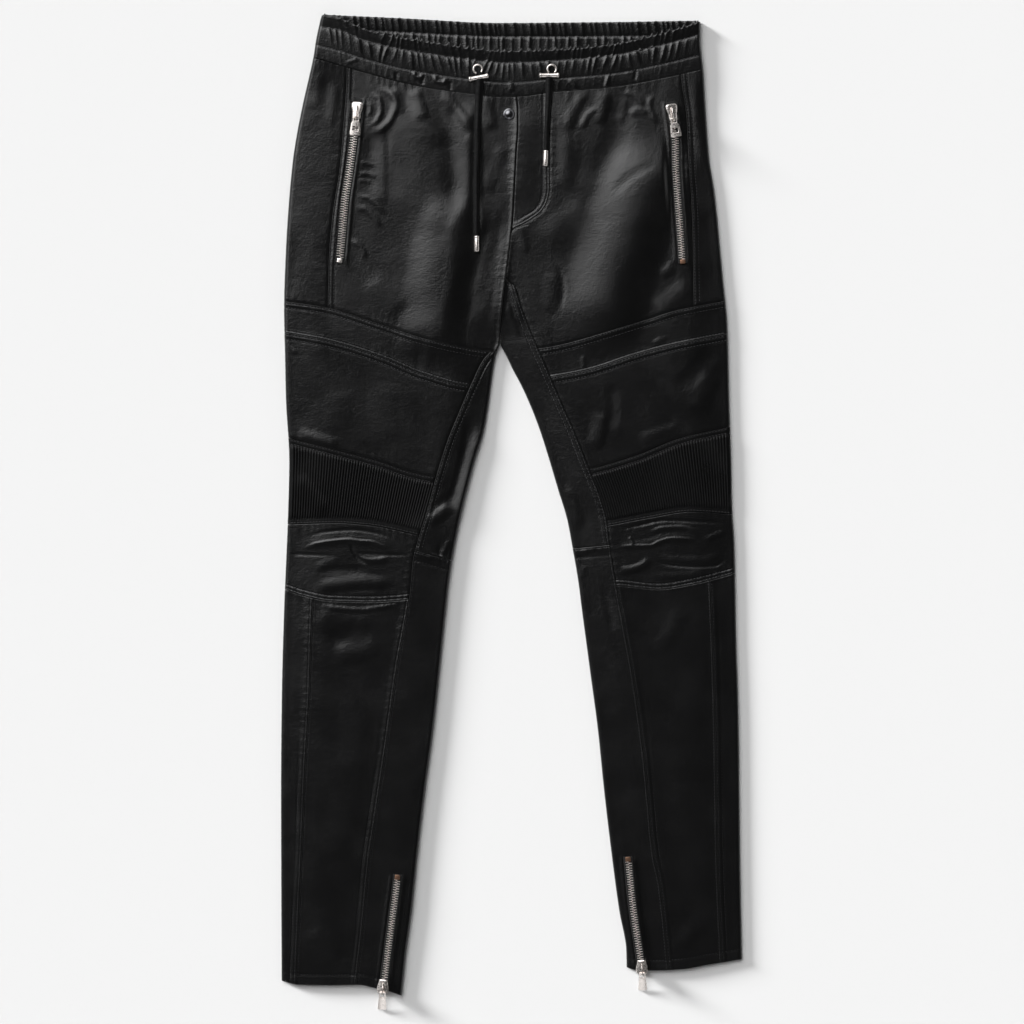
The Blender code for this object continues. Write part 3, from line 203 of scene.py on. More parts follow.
# Relief of the leather: half width on the left and on the right of the run, height, and the
# points of its crest or trough. Rows run down or to the east, so the left is east or north.
RELIEF = (
    # left, right, height, route
    # -X hip: two terraces that rise to the east, and the long fold to the crotch
    (24, 62, 1.3, (-108, 446), (-99, 424), (-91, 403), (-86, 386), (-80, 369), (-79, 352),
     (-80, 335), (-86, 318), (-94, 303), (-103, 290)),
    (24, 32, -0.9, (-76, 402), (-73, 386), (-67, 369), (-66, 352), (-67, 335), (-73, 316)),
    (12, 25, 1.5, (-46, 436), (-42, 404), (-41, 370), (-41, 340), (-43, 318)),
    (8, 14, 0.55, (-142, 428), (-138, 395), (-137, 350), (-138, 316)),
    (30, 48, 4.3, (-45, 345), (-50, 314), (-57, 291), (-63, 270), (-67, 250), (-71, 225),
     (-75, 200), (-80, 165), (-84, 150)),
    (24, 28, 0.5, (-84, 330), (-88, 304), (-91, 276), (-95, 246), (-100, 215)),
    (24, 20, -0.8, (-20, 330), (-26, 296), (-34, 268), (-44, 238), (-54, 208), (-62, 178)),
    (20, 16, -0.6, (-142, 410), (-146, 370), (-150, 330)),
    (9, 12, 0.3, (-6, 392), (-16, 366), (-28, 336)),
    (12, 14, 0.5, (-10, 340), (-20, 312), (-30, 270), (-40, 215)),
    (9, 12, 0.8, (-104, 450), (-98, 432), (-92, 412)),
    (8, 10, 0.6, (-126, 450), (-120, 434), (-118, 418)),
    (8, 10, 0.8, (-76, 446), (-62, 431), (-47, 412), (-38, 402)),
    (8, 9, -0.6, (-66, 430), (-54, 408), (-41, 394)),
    (9, 11, 0.6, (-28, 444), (-24, 422), (-20, 402)),
    (7, 10, 0.8, (-2, 305), (-8, 250), (-17, 187)),
    (5, 6, 0.8, (-142, 449), (-128, 443), (-122, 432), (-127, 416), (-138, 404), (-148, 400)),
    (4, 4, 0.6, (-150, 443), (-140, 437), (-138, 426), (-143, 413), (-150, 408)),
    (3, 3, 0.4, (-154, 434), (-149, 428), (-151, 418)),
    (3, 4, 0.3, (-162, 369), (-154, 369), (-144, 366)),
    (3, 4, 0.4, (-162, 358), (-154, 358), (-142, 354)),
    (3, 3, 0.3, (-163, 350), (-155, 350), (-147, 348)),
    (3, 5, 0.45, (-164, 334), (-153, 333), (-143, 326), (-132, 314)),
    (4, 6, 0.5, (-166, 322), (-156, 321), (-147, 314), (-136, 300)),
    (4, 5, 0.6, (-172, 288), (-163, 284), (-157, 276), (-154, 266)),
    (12, 18, 0.5, (-205, 470), (-207, 450), (-211, 424)),
    (7, 9, 0.35, (-186, 456), (-188, 430), (-193, 404)),
    (18, 22, 0.6, (-150, 250), (-134, 232), (-112, 212)),
    (26, 12, 0.9, (8, 436), (8, 400), (6, 350), (5, 320)),
    # +X hip: one broad slope up to a diagonal crest, with what crosses it
    (46, 56, 5.3, (174, 402), (160, 370), (143, 341), (129, 306), (117, 268), (105, 230), (96, 195),
     (90, 160)),
    (7, 9, -0.3, (158, 370), (140, 362), (121, 350), (107, 334)),
    (22, 17, -0.7, (116, 444), (113, 412), (106, 388), (97, 364), (90, 342)),
    (9, 13, 0.8, (100, 448), (97, 428), (90, 408)),
    (7, 10, 0.7, (80, 446), (71, 432), (64, 418), (62, 402)),
    (5, 6, 0.6, (90, 428), (80, 418), (74, 404)),
    (9, 12, 0.4, (60, 452), (58, 420), (58, 380), (57, 340)),
    (6, 7, 0.45, (124, 418), (134, 425), (146, 421)),
    (4, 5, 0.5, (152, 442), (146, 432), (149, 420), (156, 410)),
    (5, 6, 0.5, (118, 446), (130, 441), (142, 429)),
    (6, 8, 0.3, (120, 440), (119, 426), (114, 410)),
    (20, 30, 0.6, (30, 284), (50, 300), (70, 314), (84, 324)),
    (12, 18, 0.5, (66, 404), (62, 370), (56, 336)),
    (4, 5, -0.35, (46, 264), (53, 250), (55, 232), (51, 212)),
    (9, 14, 0.4, (40, 256), (44, 236), (42, 208)),
    (16, 16, 0.8, (192, 240), (172, 225), (150, 207)),
    (8, 8, 0.5, (176, 266), (166, 256), (156, 250)),
    (6, 8, 0.5, (6, 310), (10, 296), (17, 272)),
    (6, 6, 0.6, (-1, 244), (4, 224), (10, 196)),
    (5, 5, 0.5, (-6, 222), (0, 204), (8, 184)),
    (9, 18, 2.0, (201, 466), (203, 430), (208, 390), (214, 350)),
    # thighs
    (9, 9, -0.2, (-92, 196), (-95, 172), (-100, 144)),
    (9, 12, 0.25, (-82, 194), (-86, 172), (-94, 150)),
    (3, 4, 0.6, (-238, 177), (-232, 172), (-226, 167)),
    (11, 14, 1.2, (-230, 40), (-217, 26), (-206, 12), (-194, -4)),
    (18, 20, 0.3, (-180, 130), (-184, 104), (-182, 80)),
    (9, 7, 0.6, (-228, 84), (-206, 77), (-180, 70)),
    (16, 22, 0.4, (-130, 140), (-134, 110), (-126, 70)),
    (10, 9, -0.5, (104, 138), (107, 108), (103, 84)),
    (9, 14, 0.7, (96, 108), (95, 90), (88, 64)),
    (14, 13, -0.6, (217, 179), (193, 147), (173, 127)),
    (14, 16, 0.8, (214, 148), (205, 128), (196, 104)),
    (8, 12, 0.4, (132, 76), (158, 84), (182, 92)),
    (4, 4, 0.4, (75, 166), (76, 158), (77, 150)),
    (5, 5, 0.4, (150, 176), (158, 182), (164, 180)),
    # knee folds, -X
    (3, 3, -0.35, (-218, -26), (-196, -21), (-168, -19), (-145, -22), (-122, -29)),
    (1.7, 5, 0.7, (-220, -38), (-206, -33), (-190, -30.5), (-172, -29), (-160, -30.5), (-150, -31),
     (-138, -35), (-128, -38)),
    (8, 9, 0.3, (-230, -38), (-206, -33), (-176, -29), (-146, -32), (-118, -38)),
    (2.5, 3.5, -0.7, (-171, -31), (-167, -42), (-161, -50), (-150, -55)),
    (3.5, 6, 0.5, (-164, -47), (-150, -51), (-128, -49)),
    (3, 3, -0.25, (-238, -44), (-224, -45), (-190, -46)),
    (3, 3, -0.25, (-166, -44), (-140, -45), (-106, -46)),
    (7, 8, 0.3, (-208, -60), (-196, -55), (-182, -50)),
    (11, 9, 0.9, (-210, -82), (-184, -77), (-158, -75), (-122, -78)),
    (6, 6, -0.3, (-206, -64), (-180, -61), (-150, -61)),
    (5, 5, 0.25, (-172, -87), (-146, -86), (-118, -86)),
    (2.5, 5, 0.5, (-206, -97), (-186, -101), (-160, -103), (-136, -100), (-114, -97)),
    # knee folds, +X
    (3, 3, -0.4, (108, -20), (136, -14), (161, -9), (211, -11), (232, -12)),
    (2.5, 4, 0.5, (108, -38), (128, -36), (146, -36), (157, -31), (170, -28), (188, -29),
     (202, -34)),
    (6, 7, 0.35, (110, -36), (140, -34), (166, -27), (196, -29)),
    (3, 3, 0.5, (124, -26), (127, -31), (129, -36)),
    (3, 5, 0.45, (142, -24), (160, -17), (180, -16), (194, -21), (199, -32)),
    (4, 5, 0.4, (204, -30), (214, -25), (228, -20)),
    (5, 7, 0.6, (112, -62), (128, -60), (141, -54), (147, -47)),
    (3, 3, -0.5, (149, -50), (167, -56), (195, -58), (215, -57), (230, -46)),
    (6, 5, 0.35, (152, -46), (176, -51), (204, -51), (226, -41)),
    (6, 6, 0.3, (146, -68), (176, -68), (210, -64)),
    # insides of the knees
    (8, 9, 0.9, (-90, -12), (-78, -4), (-60, 8)),
    (6, 6, -0.4, (-84, 4), (-74, 10), (-64, 20)),
    (14, 7, -0.7, (-42, 110), (-49.6, 64.5), (-58, 29), (-66, 5.4), (-70, -12)),
    (3, 4, 0.7, (-64, -28), (-69, -38), (-72, -47)),
    (2, 2, -0.6, (-76.5, -34), (-76.5, -50)),
    (4, 4, 0.5, (-90, -46), (-78, -48), (-66, -50)),
    (5, 5, 0.5, (66, -44), (78, -41), (90, -38)),
    (5, 4, 0.5, (77, -56), (75, -64), (74, -72)),
    (9, 9, 0.6, (56, 30), (66, 6), (72, -20)),
    # shins
    (18, 20, 0.8, (-206, -104), (-180, -116), (-150, -126)),
    (14, 13, -0.6, (-196, -138), (-176, -130), (-154, -119)),
    (14, 14, 0.6, (-190, -154), (-166, -150), (-138, -138)),
    (7, 7, -0.5, (97, -76), (102, -99), (110, -128)),
    (14, 12, 0.4, (180, -100), (168, -128), (150, -150)),
    (18, 24, 0.4, (-160, -190), (-168, -290), (-190, -380)),
    (20, 26, 0.4, (190, -170), (184, -270), (196, -380)),
    (12, 14, 0.4, (-214, -440), (-196, -452), (-176, -470)),
    (12, 14, 0.4, (206, -430), (190, -446), (176, -462)),
)
# Swells that reach the outline at their full height, as in RELIEF
EDGE_RELIEF = (
    (50, 20, 2.4, (-201, 640), (-201, 527), (-210, 481), (-220, 436), (-231, 373), (-236, 325),
     (-239, 277), (-241, 214), (-240, 166), (-239, 118), (-236, 60)),
    (20, 48, 1.5, (-42, 100), (-61, -40), (-70, -104), (-83, -231), (-99, -358), (-112, -470),
     (-122, -640)),
    (10, 16, 1.3, (-27, 95), (-36, 62), (-45, 30), (-52, 2), (-58, -26)),
)
TAPER = 0.25        # share of a route over which its swell rises, and falls again
# Where the relief stays low, under what lies there: half width and route
CALM_HIGH = 0.5
CALM_RISE = 0.3     # more height for each millimetre beyond half the half width
CALM = (
    (9, (-33, 462), (-34, 440), (-36, 400), (-37, 340), (-37, 270)),
    (9, (40, 466), (39, 440), (38, 405), (36, 360)),
    (11, (-2.5, 420.5), (-2.5, 421)),
)


def edge_distance(x, y):
    """Distance from the outline, measured across, and round the crotch above it."""
    above = np.hypot(x - CROTCH[0], y - CROTCH[1])
    below = np.maximum(INNER_L(y) - x, x - INNER_R(y))
    inner = np.where(y > CROTCH[1], above, below)
    return np.minimum(np.minimum(x - OUTER_L(y), OUTER_R(y) - x), inner)


def smooth_points(route, count=5):
    """Points of a smooth curve through the route, with count of them for each stretch."""
    points = np.array(route, dtype=float)
    run = run_along(points)
    at = np.linspace(0, run[-1], count * (len(points) - 1) + 1)
    return np.column_stack([curve(*zip(run, points[:, axis]))(at)
                            for axis in range(points.shape[1])])


def near_line(x, y, line):
    """Signed distance from a line, positive on its left, and the share of its run."""
    best = np.full(x.shape, 1e9)
    signed = np.zeros(x.shape)
    share = np.zeros(x.shape)
    lengths = np.linalg.norm(np.diff(line, axis=0), axis=1)
    start = np.concatenate(([0], np.cumsum(lengths))) / lengths.sum()
    for k, length in enumerate(lengths):
        run = (line[k + 1] - line[k]) / length
        rx, ry = x - line[k][0], y - line[k][1]
        t = np.clip(rx * run[0] + ry * run[1], 0, length)
        away = np.hypot(rx - t * run[0], ry - t * run[1])
        closer = away < best
        best = np.where(closer, away, best)
        signed = np.where(closer, np.where(run[0] * ry - run[1] * rx > 0, away, -away), signed)
        share = np.where(closer, mix(start[k], start[k + 1], t / length), share)
    return signed, share


def bump(t):
    """Rounded swell that falls from 1 at 0 to 0 at 1 and -1."""
    return np.clip(1 - t * t, 0, 1) ** 2


def folds_of(table, x, y):
    """Height of the swells of a table such as RELIEF."""
    total = np.zeros_like(x)
    for left, right, height, *route in table:
        line = smooth_points(route)
        reach = max(left, right)
        low, high = line.min(0) - reach, line.max(0) + reach
        here = (x > low[0]) & (x < high[0]) & (y > low[1]) & (y < high[1])
        if here.any():
            signed, share = near_line(x[here], y[here], line)
            taper = smooth(np.minimum(share, 1 - share) / TAPER)
            total[here] += height * taper * bump(signed / np.where(signed > 0, left, right))
    return total


def relief(x, y):
    """Slopes, folds and creases of the front, kept low where CALM says so."""
    total = folds_of(RELIEF, x, y)
    for half_width, *route in CALM:
        signed, _ = near_line(x, y, np.array(route, dtype=float))
        beyond = np.maximum(np.abs(signed) - half_width / 2, 0)
        most = CALM_HIGH + CALM_RISE * beyond
        total = np.where(total > most / 2, total - np.maximum(total - most / 2, 0) ** 2
                         / (np.maximum(total, 0.01) + most / 2), total)
    return total


def mottle(x, y, cell, seed):
    """Smooth uneven field from -1 to 1 with this size of cell."""
    lattice = np.random.default_rng(seed).uniform(-1, 1, (1400 // int(cell) + 4,) * 2)
    u, v = (x + 700) / cell, (y + 700) / cell
    i, j = np.floor(u).astype(int), np.floor(v).astype(int)
    s, t = smooth(u - i), smooth(v - j)
    return mix(mix(lattice[i, j], lattice[i + 1, j], s),
               mix(lattice[i, j + 1], lattice[i + 1, j + 1], s), t)


def loft(x, y):
    """Inside of the front wall before its folds, as in the solids."""
    crowned = FRONT_LOW + CROWN(y) * smooth(edge_distance(x, y) / CROWN_RUN)
    return mix(BAND_LOW, crowned, smooth((WAIST(x) - y) / WAIST_RUN))


# Lines of the zips, from their tops
ZIP_LINES = {
    "zip_pocket_l": ((-162.7, 436.5), (-167, 395), (-171, 363.5), (-176, 329.5),
                     (-180.7, 275.5), (-182, 263)),
    "zip_pocket_r": ((168, 433), (171.2, 411), (173.3, 393), (174, 363.5),
                     (176.8, 322), (180.2, 276.5), (181, 262)),
    "zip_ankle_l": ((-120.5, -384), (-122, -397.7), (-125.2, -422), (-129.5, -454),
                    (-134.5, -494.7), (-135.8, -505)),
    "zip_ankle_r": ((123, -365), (124.9, -385), (127.3, -410), (130.5, -434.8),
                    (136.2, -473.5), (137.3, -484)),
}
ZIP_CALM = 7.0      # the leather keeps the solid's height this far beside a zip
ZIP_CALM_RUN = 8.0
LIP_OFFSET = 6.9    # the welt beside the tape: distance from the line, half width, height
LIP_HALF = 2.3
LIP_HIGH = 0.6
LIP_PAST = 3.0      # how far the welt goes past the zip's ends, and its run-out there
LIP_RUN = 9.0


def zip_shape(x, y):
    """Share of the relief that is left near the zips, and the welts beside them."""
    left = np.ones_like(x)
    welt = np.zeros_like(x)
    for line in ZIP_LINES.values():
        signed, _ = near_line(x, y, smooth_points(line, 3))
        away = np.abs(signed)
        left = np.minimum(left, smooth((away - ZIP_CALM) / ZIP_CALM_RUN))
        inside = (smooth((y - line[-1][1] + LIP_PAST) / LIP_RUN)
                  * smooth((line[0][1] + LIP_PAST - y) / LIP_RUN))
        welt = np.maximum(welt, LIP_HIGH * bump((away - LIP_OFFSET) / LIP_HALF) * inside)
    return left, welt


RELIEF_RUN = 14.0   # distance from the outline over which the relief rises
# Unevenness of the leather: cell, seed, height on the legs, height on the hips
UNEVEN = ((46, 1, 0.22, 0.22), (19, 2, 0.07, 0.12), (8, 3, 0.02, 0.03))
HIPS_LOW = 150.0    # the hips begin over this run of y
HIPS_RUN = 80.0


def front_surface(x, y):
    """Outside of the front wall, away from seams and edges."""
    inside = smooth(edge_distance(x, y) / RELIEF_RUN)
    hips = smooth((y - HIPS_LOW) / HIPS_RUN)
    uneven = sum(mix(legs_high, hips_high, hips) * mottle(x, y, cell, seed)
                 for cell, seed, legs_high, hips_high in UNEVEN)
    calm, welt = zip_shape(x, y)
    return (loft(x, y) + WALL + (relief(x, y) + uneven) * inside * calm
            + folds_of(EDGE_RELIEF, x, y) + welt)


# How a panel ends at each kind of border: radius of the rolled edge, lift of the edge and
# how far it reaches, distances of the stitch rows from the edge, height of the puckers
BORDERS = {
    "under": dict(radius=0.4, lift=-0.25, reach=3.0, rows=(), pucker=0.06),
    "tucked": dict(radius=0.25, lift=0.0, reach=3.0, rows=(), pucker=0.10),
    "plain": dict(radius=1.1, lift=0.0, reach=3.0, rows=(), pucker=0.05),
    "lip": dict(radius=0.6, lift=0.1, reach=4.0, rows=(), pucker=0.10),
    "single": dict(radius=0.5, lift=0.3, reach=4.0, rows=(1.7,), pucker=0.04),
    "double": dict(radius=0.5, lift=0.35, reach=8.5, rows=(1.7, 6.2), pucker=0.06),
    "shirred": dict(radius=0.7, lift=0.1, reach=8.0, rows=(1.7, 5.5), pucker=0.12),
    "cross": dict(radius=0.9, lift=0.4, reach=9.0, rows=(1.8, 10.5), pucker=0.2),
    "ribtop": dict(radius=1.0, lift=0.3, reach=6.5, rows=(1.5, 5.6), pucker=0.05),
    "riblow": dict(radius=1.0, lift=0.3, reach=5.5, rows=(1.7,), pucker=0.05),
    "ridge": dict(radius=1.6, lift=0.7, reach=4.2, rows=(), pucker=0.08),
    "hem": dict(radius=1.0, lift=0.2, reach=9.0, rows=(11.0,), pucker=0.06),
    "rim": dict(radius=0.8, lift=0.0, reach=3.0, rows=(), pucker=0.0),
}
GROOVE = 0.3        # depth of a stitch row
GROOVE_HALF = 0.9
PUCKER_REACH = 10.0
PUCKER_PITCH = 8.5
TURN_REACH = 3.4    # the outline's folded edge
TURN_LOW = 0.42
WALL_TURN = 3.2     # the inside of the wall comes down to the ground over this
NEAR = (0.0, 0.25, 0.6, 1.1, 1.7, 2.6)      # grid lines beside a seam
NEAR_OUTLINE = (0.0, 0.3, 0.8, 1.6, 2.5)    # and beside the outline
NEAR_RUN = 3.6
STEP = 1.5          # grid elsewhere
RIB_PITCH = 2.8
RIB_HIGH = 1.5
RIB_SUNK = 0.8      # the ribs start this far below the flat strips
RIB_STRIPS = (7.0, 6.0)     # width of the flat strips above and below the ribs
RIB_RUN = 1.6
OPEN_ENDS = ("outline", "crotch")
SIDES = {"w": "west", "e": "east", "n": "north", "s": "south"}


def border_offset(panel, side, x, y):
    """Distance from one border of a panel, square to it, and the place along it."""
    line = panel[SIDES[side]]
    level, place = (x, y) if side in "we" else (y, x)
    inward = 1 if side in "ws" else -1
    return inward * (level - line(place)) / stretch(line, place), place


def below_crotch(y):
    """Share of the turned edge at this height of an inner edge."""
    return np.clip((CROTCH[1] - y) / CROTCH_RUN, 0, 1)


def pucker_wave(t, seed):
    """Uneven wave from -1 to 1 along a seam."""
    phase = t / PUCKER_PITCH + 0.9 * mottle(t, t * 0 + 31 * seed, 23, 5)
    strength = 0.55 + 0.45 * mottle(t, t * 0 + 17 * seed, 31, 6)
    return np.sin(2 * np.pi * phase) * strength


def rounded_drop(away, radius):
    """How far a rounded edge lies below its panel at this distance from its end."""
    inner = np.clip(radius - away, 0, radius)
    return radius - np.sqrt(np.maximum(radius ** 2 - inner ** 2, 0))


def end_height(kind, away, place, z, seed):
    """Height z of a panel, shaped for the border at this distance."""
    if kind in OPEN_ENDS:
        turn = np.clip(away / TURN_REACH, 0, 1)
        share = TURN_LOW + (1 - TURN_LOW) * np.sqrt(1 - (1 - turn) ** 2)
        if kind == "crotch":
            share = mix(1, share, below_crotch(place))
        return z * share
    border = BORDERS[kind]
    away = np.maximum(away - SEAM / 2, 0)
    z = z + border["lift"] * bump(away / border["reach"])
    z = z + border["pucker"] * pucker_wave(place, seed) * bump((away - 2.5) / PUCKER_REACH)
    for row in border["rows"]:
        z = z - GROOVE * bump((away - row) / GROOVE_HALF)
    return z - rounded_drop(away, border["radius"])


def ribs(panel, x, y):
    """Corded ribs that run down a knee panel, between its two flat strips."""
    west, east = panel["west"](y), panel["east"](y)
    count = round(float(np.mean(east - west)) / RIB_PITCH)
    place = (x - west) / (east - west) * count
    across_rib = np.abs(place - np.floor(place) - 0.5) * 2
    from_top, _ = border_offset(panel, "n", x, y)
    from_foot, _ = border_offset(panel, "s", x, y)
    inside = (smooth((from_top - RIB_STRIPS[0]) / RIB_RUN)
              * smooth((from_foot - RIB_STRIPS[1]) / RIB_RUN))
    return inside * (RIB_HIGH * np.sqrt(np.clip(1 - across_rib ** 2, 0, 1)) - RIB_SUNK)


def hip_l_east(y):
    return np.where(y > CROTCH[1], CENTRE(y), INNER_L(y))


def gusset_west(y):
    return np.where(y > CROTCH[1], CENTRE(y) + SEAM, INNER_R(y))


FLY_FOOT = across((-10, 299), (50, 299))


def new_panel(west, east, north, south, ends, turned=False, **more):
    """Panel between four lines, and how it ends at each of them. A turned one has its west
    and east the other way round."""
    west_end, east_end, *other_ends = ends.split()
    if turned:
        west, east, west_end, east_end = east, west, east_end, west_end
    return dict(west=west, east=east, north=north, south=south,
                ends=(west_end, east_end, *other_ends), **more)


def leg_panels(side, outer, shin, inseam, inner, upper_inner, upper_top, thigh_top, thigh_low,
               knee_top, knee_low, shirr_low, cross, hem):
    """Panels of one leg, each from its outer to its inner line, then its top and its foot."""
    rows = (
        ("thigh_band", outer, inseam, thigh_top, thigh_low, "outline under double single", {}),
        ("thigh_panel", outer, inseam, thigh_low, knee_top, "outline under double under", {}),
        ("knee_rib", outer, inseam, knee_top, knee_low, "outline under ribtop riblow",
         dict(texture=ribs, fine=0.47, finish="rib")),
        ("knee_shirred", outer, inseam, knee_low, shirr_low, "outline under tucked shirred",
         dict(fine=1.2, row_step=0.7)),
        ("shin_outer", outer, shin, shirr_low, hem, "outline double lip hem", {}),
        ("shin_front", shin, inseam, shirr_low, hem, "single double lip hem", {}),
        ("inner_leg_upper", inseam, upper_inner, upper_top, cross, "double crotch under plain",
         {}),
        ("inner_leg_lower", inseam, inner, cross, hem, "single outline cross hem", {}),
    )
    return {name + "_" + side: new_panel(*lines, turned=side == "r", **more)
            for name, *lines, more in rows}


# The panels of the front: west, east, north and south line, and how they end there
PANELS = {
    "hip_side_l": new_panel(OUTER_L, SIDE_L, WAIST, THIGH_TOP_L, "outline under tucked under"),
    "hip_front_l": new_panel(SIDE_L, hip_l_east, WAIST, THIGH_TOP_L, "double ridge tucked under",
                             finish="hip"),
    "fly_placket": new_panel(CENTRE, HIP_R_WEST, WAIST, FLY_FOOT, "plain double tucked plain",
                             raised=0.6),
    "hip_front_r": new_panel(HIP_R_WEST, SIDE_R, WAIST, THIGH_TOP_R, "under under tucked under",
                             finish="hip"),
    "hip_side_r": new_panel(SIDE_R, OUTER_R, WAIST, THIGH_TOP_R, "double outline tucked under",
                            finish="hip"),
    **leg_panels("l", OUTER_L, SHIN_L, INSEAM_L, INNER_L, INNER_L, THIGH_TOP_L, THIGH_TOP_L,
                 THIGH_LOW_L, KNEE_TOP_L, KNEE_LOW_L, SHIRR_LOW_L, CROSS_L, HEM_L),
    **leg_panels("r", OUTER_R, SHIN_R, INSEAM_R, INNER_R, gusset_west, GUSSET_TOP_R, THIGH_TOP_R,
                 THIGH_LOW_R, KNEE_TOP_R, KNEE_LOW_R, SHIRR_LOW_R, CROSS_R, HEM_R),
}


def panel_surface(panel, x, y):
    """Outside of a finished panel."""
    if "height" in panel:
        z = panel["height"](panel, x, y)
    else:
        z = front_surface(x, y) + panel.get("raised", 0.0)
    if "texture" in panel:
        z = z + panel["texture"](panel, x, y)
    for seed, (side, kind) in enumerate(zip("wens", panel["ends"])):
        away, place = border_offset(panel, side, x, y)
        z = end_height(kind, away, place, z, seed)
    return z


def wall_low(panel, x, y):
    """Inside of a panel's wall, which reaches the ground at the outline."""
    low = panel["low"] + 0 * x if "low" in panel else loft(x, y)
    for side, kind in zip("wens", panel["ends"]):
        if kind in OPEN_ENDS:
            away, place = border_offset(panel, side, x, y)
            share = smooth(away / WALL_TURN)
            if kind == "crotch":
                share = mix(1, share, below_crotch(place))
            low = low * share
    return low


def near_lines(kind):
    return NEAR_OUTLINE if kind in OPEN_ENDS else NEAR


def grid_lines(width, step, kinds):
    """Grid lines between two borders: share of the way, and offset from the lines there."""
    near = [near_lines(kind) for kind in kinds]
    gap = [0.0 if kind in OPEN_ENDS else SEAM / 2 for kind in kinds]
    first = [(0.0, offset + gap[0]) for offset in near[0]]
    last = [(1.0, -offset - gap[1]) for offset in reversed(near[1])]
    count = max(2, round((width - 2 * NEAR_RUN) / step))
    middle = [(t, mix(NEAR_RUN, -NEAR_RUN, t)) for t in np.linspace(0, 1, count + 1)]
    return np.array(first + middle + last).T


def panel_grid(panel):
    """Points of a panel's grid, from its north-west corner."""
    west, east, north, south = (panel[SIDES[side]] for side in "wens")
    middle_x, middle_y = 0.0, 0.0
    for _ in range(40):
        middle_y = (north(middle_x) + south(middle_x)) / 2
        middle_x = (west(middle_y) + east(middle_y)) / 2
    width = float(east(middle_y) - west(middle_y))
    length = float(north(middle_x) - south(middle_x))
    column_share, column_offset = grid_lines(width, panel.get("fine", STEP), panel["ends"][:2])
    row_share, row_offset = grid_lines(length, panel.get("row_step", STEP), panel["ends"][2:])
    u, v = np.meshgrid(column_share, row_share)
    du, dv = np.meshgrid(column_offset, row_offset)
    x = np.full_like(u, middle_x)
    for _ in range(60):
        rise = mix(stretch(north, x), stretch(south, x), v)
        room = np.clip((north(x) - south(x)) / (2 * NEAR_RUN + 1), 0.02, 1)
        y = mix(north(x), south(x), v) - dv * rise * room
        rise = mix(stretch(west, y), stretch(east, y), u)
        room = np.clip((east(y) - west(y)) / (2 * NEAR_RUN + 1), 0.02, 1)
        x = mix(west(y), east(y), u) + du * rise * room
    return x, y


def padded_rows(count, first, last):
    """Grid rows with a wall and a turned-in strip at each end, and which are on top."""
    rows = [first, 0, *range(count), count - 1, count - 1 - last]
    on_top = [False, False] + [True] * count + [False, False]
    return np.array(rows), np.array(on_top)


def new_object(name, data):
    item = bpy.data.objects.new(name, data)
    bpy.context.scene.collection.objects.link(item)
    return item


def mesh_object(name, bm, material, sharp=40):
    mesh = bpy.data.meshes.new(name)
    bm.to_mesh(mesh)
    bm.free()
    mesh.shade_smooth()
    mesh.set_sharp_from_angle(angle=math.radians(sharp))
    mesh.materials.append(material)
    return new_object(name, mesh)


def new_grid(rows, columns):
    """Flat grid, and the layer that numbers its points row by row from the north-west."""
    bm = bmesh.new()
    place = bm.verts.layers.int.new("place")
    bmesh.ops.create_grid(bm, x_segments=columns - 1, y_segments=rows - 1, size=1)
    for vert in bm.verts:
        column = round((vert.co.x + 1) / 2 * (columns - 1))
        row = round((1 - vert.co.y) / 2 * (rows - 1))
        vert[place] = row * columns + column
    return bm, place


def grid_object(name, x, y, z, material):
    """Mesh of a grid of points in millimetres."""
    points = np.stack((x, y, z), axis=-1).reshape(-1, 3) * MM
    bm, place = new_grid(*x.shape)
    for vert in bm.verts:
        vert.co = points[vert[place]]
    return mesh_object(name, bm, material, sharp=60)


# Materials
def new_material(name, color, roughness, metallic=0.0):
    """Material, its nodes, its Principled shader and a function that links nodes."""
    material = bpy.data.materials.new(name)
    material.use_nodes = True
    nodes = material.node_tree.nodes
    shader = nodes["Principled BSDF"]
    shader.inputs["Base Color"].default_value = (*color, 1)
    shader.inputs["Roughness"].default_value = roughness
    shader.inputs["Metallic"].default_value = metallic
    return material, nodes, shader, material.node_tree.links.new


def texture(nodes, link, kind, scale, **settings):
    """Texture node on the object's own coordinates."""
    place = nodes.get("Texture Coordinate") or nodes.new("ShaderNodeTexCoord")
    node = nodes.new(kind)
    node.inputs["Scale"].default_value = scale
    for key, value in settings.items():
        node.inputs[key].default_value = value
    link(place.outputs["Object"], node.inputs["Vector"])
    return node


def add_bump(nodes, link, shader, height, distance, strength):
    """One more layer of bump in front of the ones that the shader has."""
    node = nodes.new("ShaderNodeBump")
    node.inputs["Distance"].default_value = distance
    node.inputs["Strength"].default_value = strength
    link(height, node.inputs["Height"])
    if shader.inputs["Normal"].links:
        link(shader.inputs["Normal"].links[0].from_socket, node.inputs["Normal"])
    link(node.outputs["Normal"], shader.inputs["Normal"])


def ramp(nodes, link, value, *stops):
    """Ramp of greys from (position, level) stops."""
    node = nodes.new("ShaderNodeValToRGB")
    elements = node.color_ramp.elements
    while len(elements) < len(stops):
        elements.new(0.5)
    for element, (position, level) in zip(elements, stops):
        element.position = position
        element.color = (level, level, level, 1)
    link(value, node.inputs["Fac"])
    return node.outputs["Color"]


GRAIN = 1 / 0.0015          # grains of the leather per metre
WRINKLES = 1 / 0.005
LEATHER_BLACK = (0.0034, 0.0034, 0.0035)


